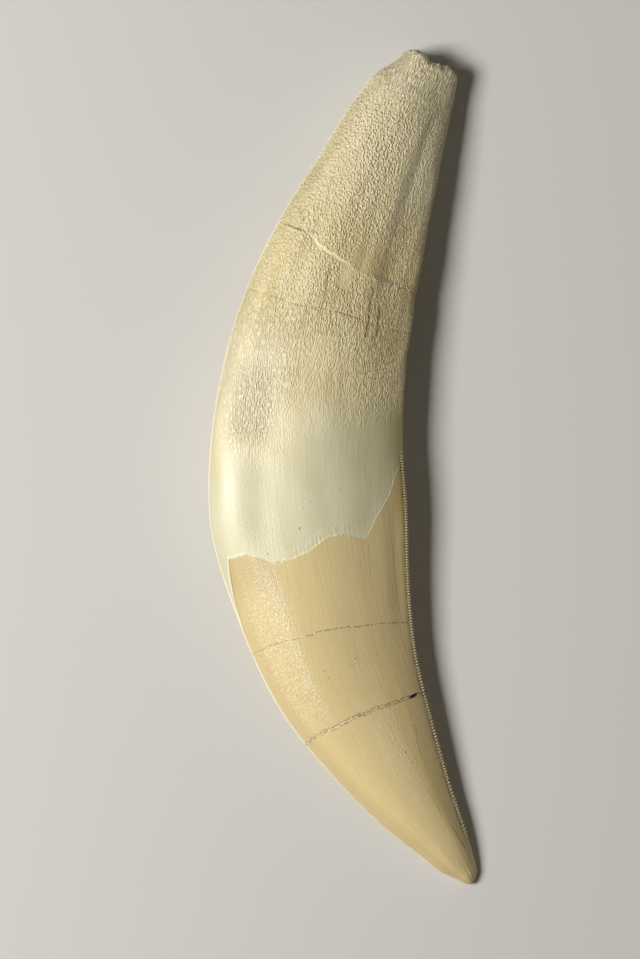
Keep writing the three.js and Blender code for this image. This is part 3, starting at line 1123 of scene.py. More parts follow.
class Wiring:
    """Adds shader nodes and links them."""

    def __init__(self, material: bpy.types.Material) -> None:
        """Starts an empty node tree.

        Args:
            material: The material to build.
        """
        material.use_nodes = True
        self.tree = material.node_tree
        self.tree.nodes.clear()

    def node(self, kind: str, **settings: object) -> bpy.types.Node:
        """Adds a node and sets its properties.

        Args:
            kind: The node's type.
            settings: Its properties by name.

        Returns:
            The node.
        """
        node = self.tree.nodes.new(kind)
        for name, value in settings.items():
            setattr(node, name, value)
        return node

    def feed(self, socket: Socket, value: object) -> None:
        """Links an output to a socket, or sets a plain value on it.

        Args:
            socket: The input to feed.
            value: An output or a plain value.
        """
        if isinstance(value, Socket):
            self.tree.links.new(value, socket)
        else:
            socket.default_value = value

    def math(self, operation: str, *values: object) -> Socket:
        """Adds a Math node.

        Args:
            operation: What it works out.
            values: Its inputs, as outputs of other nodes or numbers.

        Returns:
            The result.
        """
        node = self.node("ShaderNodeMath", operation=operation)
        for socket, value in zip(node.inputs, values):
            self.feed(socket, value)
        return node.outputs[0]

    def ramp(self, value: object, start: float, end: float, low: float = 0.0,
             high: float = 1.0) -> Socket:
        """Adds a smooth Map Range.

        Args:
            value: What is mapped.
            start: The value that becomes low.
            end: The value that becomes high, which may be less than start.
            low: The result at start and before it.
            high: The result at end and beyond it.

        Returns:
            The mapped value.
        """
        node = self.node("ShaderNodeMapRange", interpolation_type="SMOOTHSTEP")
        for name, number in (("From Min", start), ("From Max", end), ("To Min", low), ("To Max", high)):
            node.inputs[name].default_value = number
        self.feed(node.inputs["Value"], value)
        return node.outputs[0]

    def times(self, *values: object) -> Socket:
        """Multiplies values.

        Args:
            values: Outputs of other nodes or numbers.

        Returns:
            Their product.
        """
        product = values[0]
        for value in values[1:]:
            product = self.math("MULTIPLY", product, value)
        return product

    def flip(self, value: object, share: float = 1.0) -> Socket:
        """Gives 1 less a share of the value."""
        return self.math("SUBTRACT", 1.0, value if share == 1.0 else self.times(value, share))

    def shaken(self, value: object, noise: object, amount: object) -> Socket:
        """Gives the value + amount·(noise - 0.5)."""
        return self.math("ADD", value, self.times(self.math("SUBTRACT", noise, 0.5), amount))

    def band(self, value: object, start: float, end: float, fade: float) -> Socket:
        """Gives 1 between start and end and 0 outside them, with a soft fade at both."""
        rise = self.ramp(value, start - fade, start + fade)
        return self.times(rise, self.ramp(value, end - fade, end + fade, 1.0, 0.0))

    def colour_mix(self, share: object, first: object, second: object,
                   blend: str = "MIX") -> Socket:
        """Adds a colour Mix node.

        Args:
            share: How much of the second colour there is.
            first: The first colour, as an output or linear values.
            second: The second colour, in the same way.
            blend: The node's way of mixing.

        Returns:
            The mixed colour.
        """
        node = self.node("ShaderNodeMix", data_type="RGBA", blend_type=blend)
        self.feed(node.inputs["Factor"], share)
        for name, value in (("A", first), ("B", second)):
            socket = next(s for s in node.inputs if s.name == name and s.type == "RGBA")
            self.feed(socket, (*value, 1.0) if isinstance(value, tuple) else value)
        return next(s for s in node.outputs if s.type == "RGBA")

    def attribute(self, name: str) -> tuple[Socket, ...]:
        """Reads a vector attribute.

        Args:
            name: The attribute's name.

        Returns:
            The vector and its three parts.
        """
        source = self.node("ShaderNodeAttribute", attribute_name=name)
        split = self.node("ShaderNodeSeparateXYZ")
        self.feed(split.inputs[0], source.outputs["Vector"])
        return (source.outputs["Vector"], *split.outputs)

    def length(self, vector: Socket) -> Socket:
        """Gives the length of a vector.

        Args:
            vector: The vector.

        Returns:
            Its length.
        """
        node = self.node("ShaderNodeVectorMath", operation="LENGTH")
        self.feed(node.inputs[0], vector)
        return node.outputs["Value"]

    def noise(self, vector: Socket, sizes: Sizes, detail: float, shift: float,
              turn: float = 0.0) -> Socket:
        """Adds noise whose waves are about as long as the sizes along each axis.

        Args:
            vector: Coordinates in millimetres.
            sizes: Wave lengths in millimetres.
            detail: Octaves of finer noise.
            shift: Moves the pattern, so that two of them differ.
            turn: Turns the pattern about the height, in radians.

        Returns:
            The noise, 0 to 1.
        """
        mapping = self.node("ShaderNodeMapping", vector_type="TEXTURE")
        mapping.inputs["Scale"].default_value = sizes
        mapping.inputs["Location"].default_value = [-shift * size for size in sizes]
        mapping.inputs["Rotation"].default_value = (0.0, 0.0, turn)
        self.feed(mapping.inputs["Vector"], vector)
        node = self.node("ShaderNodeTexNoise", noise_dimensions="3D")
        node.inputs["Scale"].default_value = 1.0
        node.inputs["Detail"].default_value = detail
        node.inputs["Roughness"].default_value = 0.55
        self.feed(node.inputs["Vector"], mapping.outputs[0])
        return node.outputs[0]

    def cells(self, vector: Socket, sizes: Sizes) -> Socket:
        """Adds the distance to the nearest of many scattered points.

        Args:
            vector: Coordinates in millimetres.
            sizes: The points' distances along each axis, in millimetres.

        Returns:
            The distance, where 1 is a whole size.
        """
        mapping = self.node("ShaderNodeMapping")
        mapping.inputs["Scale"].default_value = [1.0 / size for size in sizes]
        self.feed(mapping.inputs["Vector"], vector)
        node = self.node("ShaderNodeTexVoronoi", feature="F1")
        node.inputs["Scale"].default_value = 1.0
        self.feed(node.inputs["Vector"], mapping.outputs[0])
        return node.outputs["Distance"]


@dataclass(frozen=True)
class Spot:
    """A small pit or patch in the top face, as an ellipse in the straightened tooth."""

    at: float
    across: float
    length: float
    width: float
    share: float
    depth: float
    tone: Colour
    thickness: float = 3.0


@dataclass(frozen=True)
class Place:
    """Where a point of the skin lies, as shader outputs in millimetres."""

    straight: Socket
    along: Socket
    fracture: Socket
    thin: Socket
    margin: Socket
    upper: Socket
    lower: Socket
    across: Socket
    neck: Socket
    # the denticles' painted highlight (above 0) and painted shade (below 0)
    tone: Socket
    gap: Socket

    @classmethod
    def read(cls, wiring: Wiring) -> "Place":
        """Reads the mesh's attributes.

        Args:
            wiring: The node tree.

        Returns:
            The place.
        """
        straight, _, along, _ = wiring.attribute("straight")
        parts = [part for name in ("lines", "cracks", "zones") for part in wiring.attribute(name)[1:]]
        return cls(straight, along, *parts)


@dataclass(frozen=True)
class Zone:
    """A part of the skin with soft edges: start, end and fade of each way that bounds it."""

    across: Span | None = None
    along: Span | None = None
    fracture: Span | None = None
    margin: Span | None = None


class Layers:
    """The colour and the fine height, to which each detail adds its part."""

    def __init__(self, wiring: Wiring, place: Place, colour: Socket) -> None:
        """Starts with a flat surface.

        Args:
            wiring: The node tree.
            place: Where a point of the skin lies.
            colour: The ground colour.
        """
        self.wiring = wiring
        self.place = place
        self.colour = colour
        self.height: object = 0.0

    def inside(self, zone: Zone) -> Socket:
        """Gives 1 inside a zone and 0 outside it."""
        spans = ((getattr(self.place, name), span) for name, span in vars(zone).items() if span)
        return self.wiring.times(*(self.wiring.band(way, *span) for way, span in spans))

    def paint(self, colour: object, *shares: object, blend: str = "MIX") -> None:
        """Mixes a colour in by the product of the shares."""
        share = self.wiring.times(*shares)
        self.colour = self.wiring.colour_mix(share, self.colour, colour, blend)

    def shade(self, colour: object, *shares: object) -> None:
        """Multiplies by a colour where the product of the shares is 1."""
        self.paint(colour, *shares, blend="MULTIPLY")

    def lift(self, *amounts: object) -> None:
        """Raises the surface by the product of the amounts, in millimetres."""
        self.height = self.wiring.math("ADD", self.height, self.wiring.times(*amounts))


@dataclass(frozen=True)
class IvoryFinish:
    """Root, neck and enamel of the tooth in one material."""

    root: Coat = Coat((0.87, 0.75, 0.42), (0.75, 0.615, 0.31), 0.43)
    neck: Coat = Coat((0.78, 0.735, 0.495), (0.73, 0.67, 0.43), 0.39)
    crown: Coat = Coat((0.78, 0.62, 0.31), (0.71, 0.545, 0.245), 0.34)
    # dark brown: dirt in cracks and splits, also the colour of painted shade in pits, the chip's
    # shadow, the lower crack's edges and beside the denticles
    dirt_and_shade: Colour = (0.13, 0.085, 0.035)
    # the colour of the painted shade in the bark's hollows
    hollow: Colour = (0.5, 0.36, 0.14)
    crumbs: Colour = (0.92, 0.82, 0.56)
    filler: Colour = (0.90, 0.78, 0.42)
    # colour of the painted shade on the smooth patch before the break, which slopes away from the key
    # light
    patch: Colour = (0.62, 0.49, 0.235)
    drip: Colour = (0.93, 0.89, 0.68)
    # light cream for paler parts and grains, also the colour of painted highlights on crests, strokes
    # and beads
    top: Colour = (0.97, 0.91, 0.68)
    # brown tone for the flank, also the colour of painted shade down the right side and past the
    # margin's rim
    brown_and_shade: Colour = (0.86, 0.81, 0.68)
    rust: Colour = (0.22, 0.13, 0.045)
    edge_tone: Colour = (0.85, 0.84, 0.83)
    # colour of the painted highlight on the margin's step at the convex side, which faces the key light
    rim_highlight: Colour = (1.0, 0.97, 0.84)
    # lengths of the waves in each pattern
    patch_size: Sizes = (4.0, 12.0, 4.0)
    line_size: Sizes = (0.45, 26.0, 0.45)
    pebble_size: Sizes = (0.43, 0.6, 0.43)
    grain_size: Sizes = (0.3, 0.42, 0.3)
    strand_size: Sizes = (0.27, 0.95, 0.27)
    streak_size: Sizes = (1.1, 9.0, 1.1)
    stroke_size: Sizes = (0.42, 0.15, 0.3)
    stroke_turn: float = -0.86
    growth_size: Sizes = (0.5, 18.0, 0.5)
    drip_size: Sizes = (0.42, 2.4, 0.42)
    ragged_size: Sizes = (0.34, 1.6, 0.34)
    waver_size: Sizes = (0.8, 1.6, 0.8)
    dash_size: Sizes = (0.9, 0.9, 0.9)
    crumb_size: Sizes = (0.24, 0.24, 0.24)
    # heights in millimetres
    bark_height: float = 0.27
    strand_height: float = 0.14
    stroke_height: float = 0.03
    lively_height: float = 0.055
    drip_height: float = 0.1
    rim_height: float = 0.08
    bead_height: float = 0.06
    fill_height: float = 0.05
    loose_height: float = 0.2
    split_depth: float = 0.08
    pit_depth: float = 0.07
    # parts of the root: folds beside its end, the glue and the chip at the break, paler parts
    folds: Zone = Zone(across=(-0.82, -0.44, 0.08), along=(60.0, 72.5, 2.5))
    glue: Zone = Zone(across=(-0.5, 0.05, 0.06), fracture=(-0.1, 0.62, 0.12))
    chip: Zone = Zone(across=(0.0, 0.16, 0.03), fracture=(0.3, 4.6, 0.3))
    chip_shadow: Zone = Zone(across=(0.0, 0.15, 0.03), fracture=(4.75, 4.9, 0.1))
    worn: Zone = Zone(across=(-0.12, 0.3, 0.16), along=(50.0, 74.0, 5.0))
    bark_end: Zone = Zone(across=(0.0, 0.28, 0.1), along=(64.0, 71.0, 3.0))
    # parts of the enamel: the speckles by the bevel, the drips and beads of its margin
    speckles: Zone = Zone(across=(0.0, 0.42, 0.16), along=(124.0, 146.0, 7.0))
    dripping: Zone = Zone(across=(-0.25, 0.42, 0.1), margin=(-1.5, 0.1, 0.5))
    beaded: Zone = Zone(across=(-0.8, 0.44, 0.06), margin=(-0.2, 0.14, 0.1))
    spots: tuple[Spot, ...] = (
        Spot(87.9, -0.10, 0.3, 0.26, 0.35, 0.16, (0.5, 0.4, 0.2)),
        Spot(40.4, 0.09, 1.7, 0.8, 0.45, 0.0, (0.90, 0.80, 0.48)),
        Spot(40.0, -0.02, 1.0, 0.3, 0.5, 0.1, (0.5, 0.36, 0.14)),
        Spot(124.95, 0.80, 0.34, 1.05, 1.0, 0.4, (0.02, 0.012, 0.005)),
    )

    def _ground(self, wiring: Wiring, place: Place, smooth: Socket, enamel: Socket) -> Socket:
        """Mixes the ground colour of root, neck and crown.

        Args:
            wiring: The node tree.
            place: Where the point lies.
            smooth: 0 on the root and 1 on the neck.
            enamel: 1 on the enamel.

        Returns:
            The colour.
        """
        patches = wiring.noise(place.straight, self.patch_size, detail=3.0, shift=4.0)
        lines = wiring.noise(place.straight, self.line_size, detail=2.0, shift=8.0)
        root = wiring.colour_mix(wiring.ramp(patches, 0.35, 0.7), self.root.light, self.root.dark)
        neck = wiring.colour_mix(wiring.ramp(patches, 0.35, 0.75), self.neck.light, self.neck.dark)
        lines = wiring.ramp(lines, 0.45, 0.8, 0.0, 0.6)
        crown = wiring.colour_mix(lines, self.crown.light, self.crown.dark)
        return wiring.colour_mix(enamel, wiring.colour_mix(smooth, root, neck), crown)

    def _bark(self, layers: Layers, rooty: Socket) -> None:
        """Covers the root with bark: pebbles near its end and strands further down, with painted shade
        in its hollows and on the smooth patch before the break, and painted highlights on its crests.

        Args:
            layers: The colour and height to add to.
            rooty: 1 on the root, fading out towards the neck.
        """
        wiring, place = layers.wiring, layers.place
        ramp, band, times = wiring.ramp, wiring.band, wiring.times
        round_grains = ramp(wiring.cells(place.straight, self.pebble_size), 0.2, 0.66, 1.0, 0.0)
        fine = wiring.noise(place.straight, self.grain_size, detail=1.0, shift=2.0)
        fine = ramp(fine, 0.36, 0.62)
        pebbles = wiring.math("ADD", times(round_grains, 0.65), times(fine, 0.35))
        strands = wiring.noise(place.straight, self.strand_size, detail=2.0, shift=3.0)
        strands = ramp(strands, 0.3, 0.68)
        stringy = wiring.math("MAXIMUM", ramp(place.along, 34.0, 58.0, 0.1, 0.9),
                              ramp(place.along, 11.0, 4.0, 0.0, 0.9))
        stringy = wiring.math("MAXIMUM", stringy, ramp(place.across, -0.05, 0.5, 0.0, 0.7))
        bark = wiring.math("ADD", times(pebbles, wiring.flip(stringy)), times(strands, stringy))
        patch = times(ramp(place.fracture, -8.0, -3.0), ramp(place.fracture, -0.1, 0.1, 1.0, 0.0),
                      band(place.across, 0.05, 0.6, 0.14))
        calm = times(ramp(place.along, 47.0, 58.0), band(place.across, -0.28, 0.4, 0.22))
        pale = times(band(place.across, -0.95, -0.35, 0.15), ramp(place.along, 50.0, 60.0))
        weaker = ((patch, 0.65), (layers.inside(self.chip), 0.75), (layers.inside(self.glue), 0.8),
                  (calm, 0.65), (pale, 0.42))
        barky = times(rooty, *(wiring.flip(part, share) for part, share in weaker))
        layers.lift(bark, barky, self.bark_height)
        layers.lift(strands, layers.inside(self.folds), self.strand_height)
        layers.paint(self.top, ramp(place.along, 36.0, 12.0), 0.3)
        # painted shade: the bark's hollows darker
        layers.paint(self.hollow, ramp(bark, 0.0, 0.45, 0.48, 0.0), barky, wiring.flip(pale, 0.85))
        layers.paint(self.top, pale, rooty, 0.45)
        worn = wiring.flip(layers.inside(self.worn), 0.6)
        # painted highlight: the bark's crests lighter
        layers.paint(self.top, ramp(bark, 0.55, 0.9, 0.0, 0.65), barky, worn)
        layers.paint(self.top, layers.inside(self.bark_end), 0.35)
        # painted shade: the smooth patch before the break darker
        layers.paint(self.patch, patch, 0.6)
        layers.paint(self.dirt_and_shade, layers.inside(self.chip_shadow), 0.45)

    def _enamel(self, layers: Layers, smooth: Socket, enamel: Socket) -> None:
        """Adds the enamel's growth lines along and its fine strokes across, with painted glints and
        shade on the strokes where the key light's highlight falls.

        Args:
            layers: The colour and height to add to.
            smooth: 0 on the root and 1 beyond it.
            enamel: 1 on the enamel.
        """
        wiring, place = layers.wiring, layers.place
        ramp, band, times = wiring.ramp, wiring.band, wiring.times
        strokes = wiring.noise(place.straight, self.stroke_size, detail=0.0, shift=5.0,
                               turn=self.stroke_turn)
        growth = wiring.noise(place.straight, self.growth_size, detail=1.0, shift=9.0)
        sparkle_zone = times(enamel, ramp(place.across, -0.34, -0.46),
                       band(place.along, 96.0, 122.0, 5.0), ramp(place.across, -0.97, -0.82))
        layers.lift(strokes, smooth, self.stroke_height)
        layers.lift(strokes, sparkle_zone, self.lively_height)
        # painted highlight: glints on the strokes' crests where the key light's highlight falls
        layers.paint(self.top, sparkle_zone, ramp(strokes, 0.48, 0.66, 0.0, 0.38))
        # painted shade in the strokes' troughs there
        layers.paint(self.crown.dark, sparkle_zone, ramp(strokes, 0.34, 0.5, 0.8, 0.0))
        speckled = times(enamel, layers.inside(self.speckles))
        layers.lift(strokes, speckled, self.stroke_height)
        layers.paint(self.top, speckled, ramp(strokes, 0.5, 0.68, 0.0, 0.22))
        layers.shade(self.edge_tone, enamel, ramp(place.along, 101.0, 94.0),
                     ramp(place.across, -0.25, -0.6))
        layers.lift(growth, smooth, ramp(place.along, 150.0, 136.0, 0.006, 0.03))

    def _margin(self, layers: Layers) -> None:
        """Adds the drips and beads at the enamel's margin, the light lip at the concave side, a painted
        highlight on the rim at the convex side with painted shade just past it, and the flank's tone.

        Args:
            layers: The colour and height to add to.
        """
        wiring, place = layers.wiring, layers.place
        ramp, band, times = wiring.ramp, wiring.band, wiring.times
        drips = wiring.noise(place.straight, self.drip_size, detail=1.0, shift=12.0)
        layers.lift(drips, layers.inside(self.dripping), self.drip_height)
        layers.paint(self.drip, layers.inside(self.beaded), ramp(drips, 0.5, 0.6), 0.6)
        left = ramp(place.across, -0.84, -0.88)
        # painted highlight: the lit face of the margin's step at the convex side
        rim = times(left, band(place.margin, -0.2, 0.04, 0.05))
        layers.paint(self.rim_highlight, rim)
        layers.lift(rim, self.rim_height)
        # painted shade: a darker line just past that rim
        layers.shade(self.brown_and_shade, left, band(place.margin, 0.1, 0.5, 0.1), 0.7)
        right = times(ramp(place.across, 0.55, 0.62), band(place.margin, -0.16, 0.06, 0.07))
        layers.paint(self.drip, right, ramp(drips, 0.35, 0.55, 0.1, 0.8))
        layers.lift(right, drips, self.bead_height)
        flank = times(band(place.across, 0.42, 0.64, 0.14), ramp(place.along, 104.0, 122.0))
        layers.shade(self.brown_and_shade, flank, 0.4)

    def _fracture(self, layers: Layers, crumb: Socket) -> None:
        """Fills the glued break: a pale band in its middle, crumbs at the concave side.

        Args:
            layers: The colour and height to add to.
            crumb: Noise as fine as the crumbs.
        """
        wiring, place = layers.wiring, layers.place
        ramp, band, times = wiring.ramp, wiring.band, wiring.times
        broken = wiring.shaken(place.fracture, crumb, 0.7)
        narrow = wiring.math("MAXIMUM", ramp(place.across, -0.3, -0.46, 1.0, 2.6),
                             ramp(place.across, -0.1, 0.02, 1.0, 2.6))
        layers.paint(self.filler, band(times(broken, narrow), -0.05, 0.66, 0.1),
                     band(place.across, -0.5, 0.02, 0.06), 0.8)
        reach = band(place.across, -0.62, 0.36, 0.06)
        layers.paint(self.crumbs, band(broken, -0.12, 0.08, 0.08), reach, 0.75)
        layers.lift(band(broken, -0.12, 0.1, 0.08), reach, self.bead_height)
        layers.paint(self.dirt_and_shade, band(broken, -0.1, 0.16, 0.08), band(place.across, -0.88, -0.6, 0.05),
                     0.8)
        loose = times(band(place.fracture, -0.45, 0.5, 0.2), ramp(place.across, 0.36, 0.42))
        layers.paint(self.crumbs, loose, ramp(crumb, 0.5, 0.58, 0.0, 0.8))
        layers.paint(self.dirt_and_shade, loose, ramp(crumb, 0.38, 0.48, 0.75, 0.0))
        layers.lift(crumb, loose, self.loose_height)

    def _cracks(self, layers: Layers, crumb: Socket) -> None:
        """Draws the three cracks: dashes of dirt, and light grains in the two of the crown, with
        painted shade along the lower crack's edges.

        Args:
            layers: The colour and height to add to.
            crumb: Noise as fine as the grains.
        """
        wiring, place = layers.wiring, layers.place
        ramp, band, times = wiring.ramp, wiring.band, wiring.times
        dashes = wiring.noise(place.straight, self.dash_size, detail=1.0, shift=6.0)
        dashes = ramp(dashes, 0.4, 0.56)
        faint = ramp(place.across, -0.7, -0.4, 0.55, 1.0)
        strong = band(place.across, 0.08, 0.4, 0.05)
        layers.paint(self.dirt_and_shade, band(place.thin, -0.06, 0.06, 0.06), dashes, 0.55)
        layers.paint(self.dirt_and_shade, band(place.thin, -0.1, 0.08, 0.05), strong, 0.7)
        thread = band(place.upper, -0.11, 0.1, 0.06)
        layers.paint(self.rust, thread, ramp(crumb, 0.44, 0.54, 0.9, 0.0), faint)
        layers.paint(self.top, thread, ramp(crumb, 0.51, 0.58), faint)
        layers.lift(thread, ramp(crumb, 0.44, 0.58), self.bead_height)
        rough = wiring.shaken(place.lower, crumb, 0.5)
        fill = band(rough, -0.18, 0.2, 0.06)
        layers.paint(self.crown.dark, fill, 0.4)
        layers.paint(self.crumbs, fill, ramp(crumb, 0.5, 0.6, 0.0, 0.8),
                     ramp(place.across, 0.45, -0.1, 0.4, 1.0))
        layers.paint(self.dirt_and_shade, fill, ramp(crumb, 0.38, 0.48, 0.8, 0.0))
        layers.lift(fill, crumb, self.fill_height)
        # dark fissure at the lower crack's upper edge, with painted shade where the groove's upper wall
        # faces away from the light
        first = times(band(rough, -0.32, -0.17, 0.06), ramp(dashes, 0.0, 1.0, 0.6, 1.0))
        layers.paint(self.dirt_and_shade, first, ramp(crumb, 0.4, 0.52, 1.0, 0.6))
        # painted shade below the filled ridge
        second = times(band(rough, 0.24, 0.33, 0.05), ramp(place.across, -0.3, 0.1))
        layers.paint(self.dirt_and_shade, second, dashes, ramp(crumb, 0.45, 0.55, 0.5, 0.0))

    def _edges(self, layers: Layers) -> None:
        """Tones the edges: a light rim and a deeper colour behind it on the convex one, painted shade
        down the right side, and painted highlights and shade on the denticles.

        Args:
            layers: The colour and height to add to.
        """
        wiring, place = layers.wiring, layers.place
        ramp, band, times = wiring.ramp, wiring.band, wiring.times
        convex = ramp(place.across, -0.4, -0.6)
        behind = times(ramp(place.gap, 0.15, 0.6), ramp(place.gap, 1.2, 3.6, 1.0, 0.0))
        layers.shade(self.edge_tone, convex, behind)
        layers.paint(self.top, convex, ramp(place.gap, 0.14, 0.36, 0.8, 0.0))
        # painted shade: the right side, away from the key light, darker and browner at the neck's edge
        # and over the root's right half
        layers.shade(self.brown_and_shade, ramp(place.across, 0.75, 0.98), band(place.along, 64.0, 88.0, 4.0))
        layers.shade(self.brown_and_shade, ramp(place.across, 0.2, 0.62), ramp(place.along, 20.0, 40.0),
                     ramp(place.margin, -0.4, -3.0, 0.0, 0.6))
        # painted shade between and beside the denticles' beads, and a painted highlight on the beads
        layers.paint(self.dirt_and_shade, ramp(place.tone, -0.1, -0.7, 0.0, 0.8))
        layers.paint(self.top, ramp(place.tone, 0.1, 0.6, 0.0, 0.95))

    def _fine_marks(self, layers: Layers) -> None:
        """Draws the fine splits that run along the tooth, and its tiny pits, painted darker as painted
        shade in them.

        Args:
            layers: The colour and height to add to.
        """
        wiring = layers.wiring
        waver = wiring.noise(layers.place.straight, self.waver_size, detail=2.0, shift=15.0)
        _, aside, _, beyond = wiring.attribute("splits")
        away = wiring.math("ABSOLUTE", wiring.shaken(aside, waver, 2.6))
        line = wiring.ramp(wiring.math("MAXIMUM", away, beyond), 0.3, 1.0, 1.0, 0.0)
        layers.paint(self.dirt_and_shade, line, 0.6)
        layers.lift(line, -self.split_depth)
        ways = [wiring.length(wiring.attribute(name)[0]) for name in ("pits", "more_pits")]
        hole = wiring.ramp(wiring.math("MINIMUM", *ways), 0.45, 1.1, 1.0, 0.0)
        # painted shade: the tiny pits darker
        layers.paint(self.dirt_and_shade, hole, 0.62)
        layers.lift(hole, -self.pit_depth)

    def _spot(self, layers: Layers, form: ToothForm, spot: Spot) -> None:
        """Sinks and colours one spot.

        Args:
            layers: The colour and height to add to.
            form: The tooth's form, which places the spot.
            spot: The spot.
        """
        wiring = layers.wiring
        centre = form.straight(np.array(spot.at), np.array(math.acos(spot.across)))
        mapping = wiring.node("ShaderNodeMapping", vector_type="TEXTURE")
        mapping.inputs["Location"].default_value = centre
        mapping.inputs["Scale"].default_value = (spot.width, spot.length, spot.thickness)
        wiring.feed(mapping.inputs["Vector"], layers.place.straight)
        hole = wiring.ramp(wiring.length(mapping.outputs[0]), 0.45, 1.0, 1.0, 0.0)
        layers.paint(spot.tone, hole, spot.share)
        layers.lift(hole, -spot.depth)

    def material(self, form: ToothForm) -> bpy.types.Material:
        """Builds the material.

        Args:
            form: The tooth's form, which places the spots.

        Returns:
            The finished material.
        """
        material = bpy.data.materials.new("tooth_ivory")
        wiring = Wiring(material)
        place = Place.read(wiring)
        ragged = wiring.band(place.across, -0.35, 0.44, 0.08)
        raggedness = wiring.math("ADD", wiring.times(ragged, 1.8), 0.5)
        jags = wiring.noise(place.straight, self.ragged_size, detail=2.0, shift=7.0)
        enamel = wiring.ramp(wiring.shaken(place.margin, jags, raggedness), -0.04, 0.06)
        streaks = wiring.noise(place.straight, self.streak_size, detail=3.0, shift=0.0)
        fading = wiring.shaken(place.neck, streaks, 14.0)
        smooth = wiring.ramp(fading, -12.0, 6.0)
        rooty = wiring.ramp(fading, -13.0, 4.5, 1.0, 0.0)
        crumb = wiring.noise(place.straight, self.crumb_size, detail=1.0, shift=6.0)

        layers = Layers(wiring, place, self._ground(wiring, place, smooth, enamel))
        self._bark(layers, rooty)
        self._enamel(layers, smooth, enamel)
        self._margin(layers)
        self._edges(layers)
        self._fracture(layers, crumb)
        self._cracks(layers, crumb)
        self._fine_marks(layers)
        for spot in self.spots:
            self._spot(layers, form, spot)

        bump = wiring.node("ShaderNodeBump")
        bump.inputs["Strength"].default_value = 1.0
        bump.inputs["Distance"].default_value = MM
        wiring.feed(bump.inputs["Height"], layers.height)
        shader = wiring.node("ShaderNodeBsdfPrincipled")
        wiring.feed(shader.inputs["Base Color"], layers.colour)
        wiring.feed(shader.inputs["Normal"], bump.outputs[0])
        roughness = wiring.ramp(smooth, 0.0, 1.0, self.root.roughness, self.neck.roughness)
        polish = wiring.times(enamel, self.neck.roughness - self.crown.roughness)
        wiring.feed(shader.inputs["Roughness"], wiring.math("SUBTRACT", roughness, polish))
        output = wiring.node("ShaderNodeOutputMaterial")
        wiring.feed(output.inputs["Surface"], shader.outputs[0])
        return material


@dataclass
class Tooth:
    """The whole tooth as one piece, in place of the CAD solid."""

    form: ToothForm = field(default_factory=ToothForm)
    relief: Relief = field(default_factory=Relief)
    root_end: RootEnd = field(default_factory=RootEnd)
    serrations: tuple[Serration, ...] = (
        Serration(Edge.CONCAVE, 74.0, 156.0),
        Serration(Edge.CONVEX, 126.0, 157.0, notch=0.12, bead=0.05, groove=0.03, reach=0.45, light_and_shade=0.6),
    )
    fine_marks: FineMarks = field(default_factory=FineMarks)
    finish: IvoryFinish = field(default_factory=IvoryFinish)

    def mesh(self) -> bpy.types.Mesh:
        """Builds the closed mesh with the attributes that the finish reads.

        Returns:
            The mesh, in metres.
        """
        grid = SkinGrid(self.form, self.relief.lines, self.root_end)
        builder = SkinBuilder(self.form, self.relief, self.root_end, self.serrations, self.fine_marks)
        surface = builder.build(grid)
        corners, sizes = grid.faces()
        mesh = bpy.data.meshes.new("tooth_surface")
        mesh.vertices.add(len(surface.place))
        mesh.vertices.foreach_set("co", (surface.place * MM).ravel())
        mesh.loops.add(len(corners))
        mesh.loops.foreach_set("vertex_index", corners)
        mesh.polygons.add(len(sizes))
        mesh.polygons.foreach_set("loop_start", np.concatenate([[0], np.cumsum(sizes)[:-1]]))
        mesh.polygons.foreach_set("use_smooth", np.ones(len(sizes), bool))
        mesh.update(calc_edges=True)
        for name, values in surface.facts.items():
            layer = mesh.attributes.new(name, "FLOAT_VECTOR", "POINT")
            layer.data.foreach_set("vector", values.ravel())
        mesh.validate()
        return mesh

    def build(self) -> bpy.types.Object:
        """Makes the piece, dresses it and puts it in the CAD solid's place.

        Returns:
            The tooth's object.
        """
        mesh = self.mesh()
        mesh.materials.append(self.finish.material(self.form))
        piece = bpy.data.objects.new("tooth_skin", mesh)
        bpy.context.scene.collection.objects.link(piece)
        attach(piece, "root")
        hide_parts("tooth")
        triangles = sum(len(face.vertices) - 2 for face in mesh.polygons)
        log.info("tooth: %d vertices, %d triangles", len(mesh.vertices), triangles)
        return piece


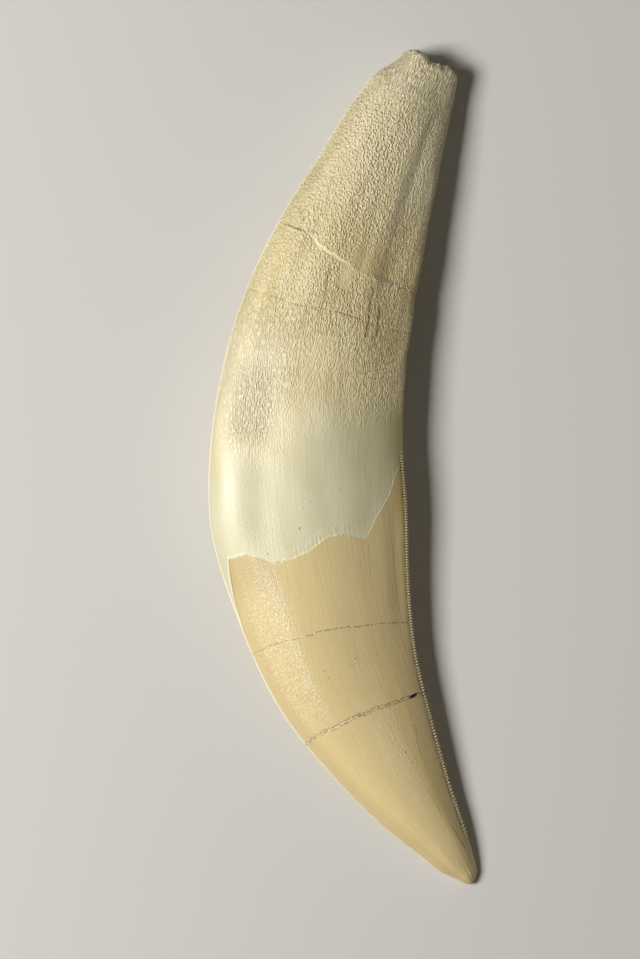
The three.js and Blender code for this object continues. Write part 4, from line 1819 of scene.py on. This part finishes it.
@dataclass
class Studio:
    """Floor, soft lights and the camera, which looks straight down."""

    view_centre: tuple[float, float] = (-0.0042, -0.00205)
    view_height: float = 0.1778
    plane: float = 0.004
    lens: float = 150.0
    sensor: float = 36.0
    floor_size: float = 3.0
    floor_level: float = -1e-5
    floor_colour: tuple[float, float, float, float] = (0.66, 0.64, 0.60, 1.0)
    key_azimuth: float = 181.0
    key_elevation: float = 47.0
    light_distance: float = 0.8
    key_size: float = 0.3
    key_power: float = 7.0
    fill_azimuth: float = 20.0
    fill_elevation: float = 65.0
    fill_size: float = 0.8
    fill_power: float = 0.22
    ambient: float = 0.07
    ambient_colour: tuple[float, float, float, float] = (1.0, 0.91, 0.75, 1.0)

    def _light(self, name: str, azimuth: float, elevation: float, size: float,
               power: float) -> bpy.types.Object:
        """Hangs a square soft light that looks at the tooth's middle.

        Args:
            name: The light's name.
            azimuth: Its direction in plan, in degrees from +X.
            elevation: Its height over the floor, in degrees.
            size: Its side, in metres.
            power: Its power, in watts.

        Returns:
            The light's object.
        """
        data = bpy.data.lights.new(name, "AREA")
        data.shape = "SQUARE"
        data.size = size
        data.energy = power
        light = bpy.data.objects.new(name, data)
        turn, rise = math.radians(azimuth), math.radians(elevation)
        flat = self.light_distance * math.cos(rise)
        up = self.light_distance * math.sin(rise)
        light.location = (flat * math.cos(turn), flat * math.sin(turn), up)
        light.rotation_euler = (0.0, math.radians(90.0) - rise, turn)
        bpy.context.scene.collection.objects.link(light)
        return light

    def build(self) -> None:
        """Makes the floor, the lights, the dim surroundings and the camera."""
        half, level = 0.5 * self.floor_size, self.floor_level
        mesh = bpy.data.meshes.new("floor")
        plan = ((-half, -half), (half, -half), (half, half), (-half, half))
        corners = [(x, y, level) for x, y in plan]
        mesh.from_pydata(corners, [], [(0, 1, 2, 3)])
        material = bpy.data.materials.new("floor_paper")
        wiring = Wiring(material)
        shader = wiring.node("ShaderNodeBsdfPrincipled")
        shader.inputs["Base Color"].default_value = self.floor_colour
        shader.inputs["Roughness"].default_value = 0.9
        output = wiring.node("ShaderNodeOutputMaterial")
        wiring.feed(output.inputs["Surface"], shader.outputs[0])
        mesh.materials.append(material)
        floor = bpy.data.objects.new("floor", mesh)
        bpy.context.scene.collection.objects.link(floor)
        self._light("key", self.key_azimuth, self.key_elevation, self.key_size, self.key_power)
        self._light("fill", self.fill_azimuth, self.fill_elevation, self.fill_size, self.fill_power)
        world = bpy.data.worlds.new("surroundings")
        world.use_nodes = True
        background = world.node_tree.nodes["Background"]
        background.inputs["Color"].default_value = self.ambient_colour
        background.inputs["Strength"].default_value = self.ambient
        bpy.context.scene.world = world
        data = bpy.data.cameras.new("camera")
        data.lens = self.lens
        data.sensor_width = self.sensor
        data.clip_end = 10.0
        camera = bpy.data.objects.new("camera", data)
        distance = self.view_height * self.lens / self.sensor
        camera.location = (*self.view_centre, self.plane + distance)
        bpy.context.scene.collection.objects.link(camera)
        bpy.context.scene.camera = camera
        bpy.context.scene.view_settings.view_transform = "Standard"
        log.info("studio: floor, two lights and the camera")


def main() -> None:
    logging.basicConfig(level=logging.INFO, format="%(name)s: %(message)s")
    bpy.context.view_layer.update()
    Tooth().build()
    Studio().build()


if __name__ == "__main__":
    main()
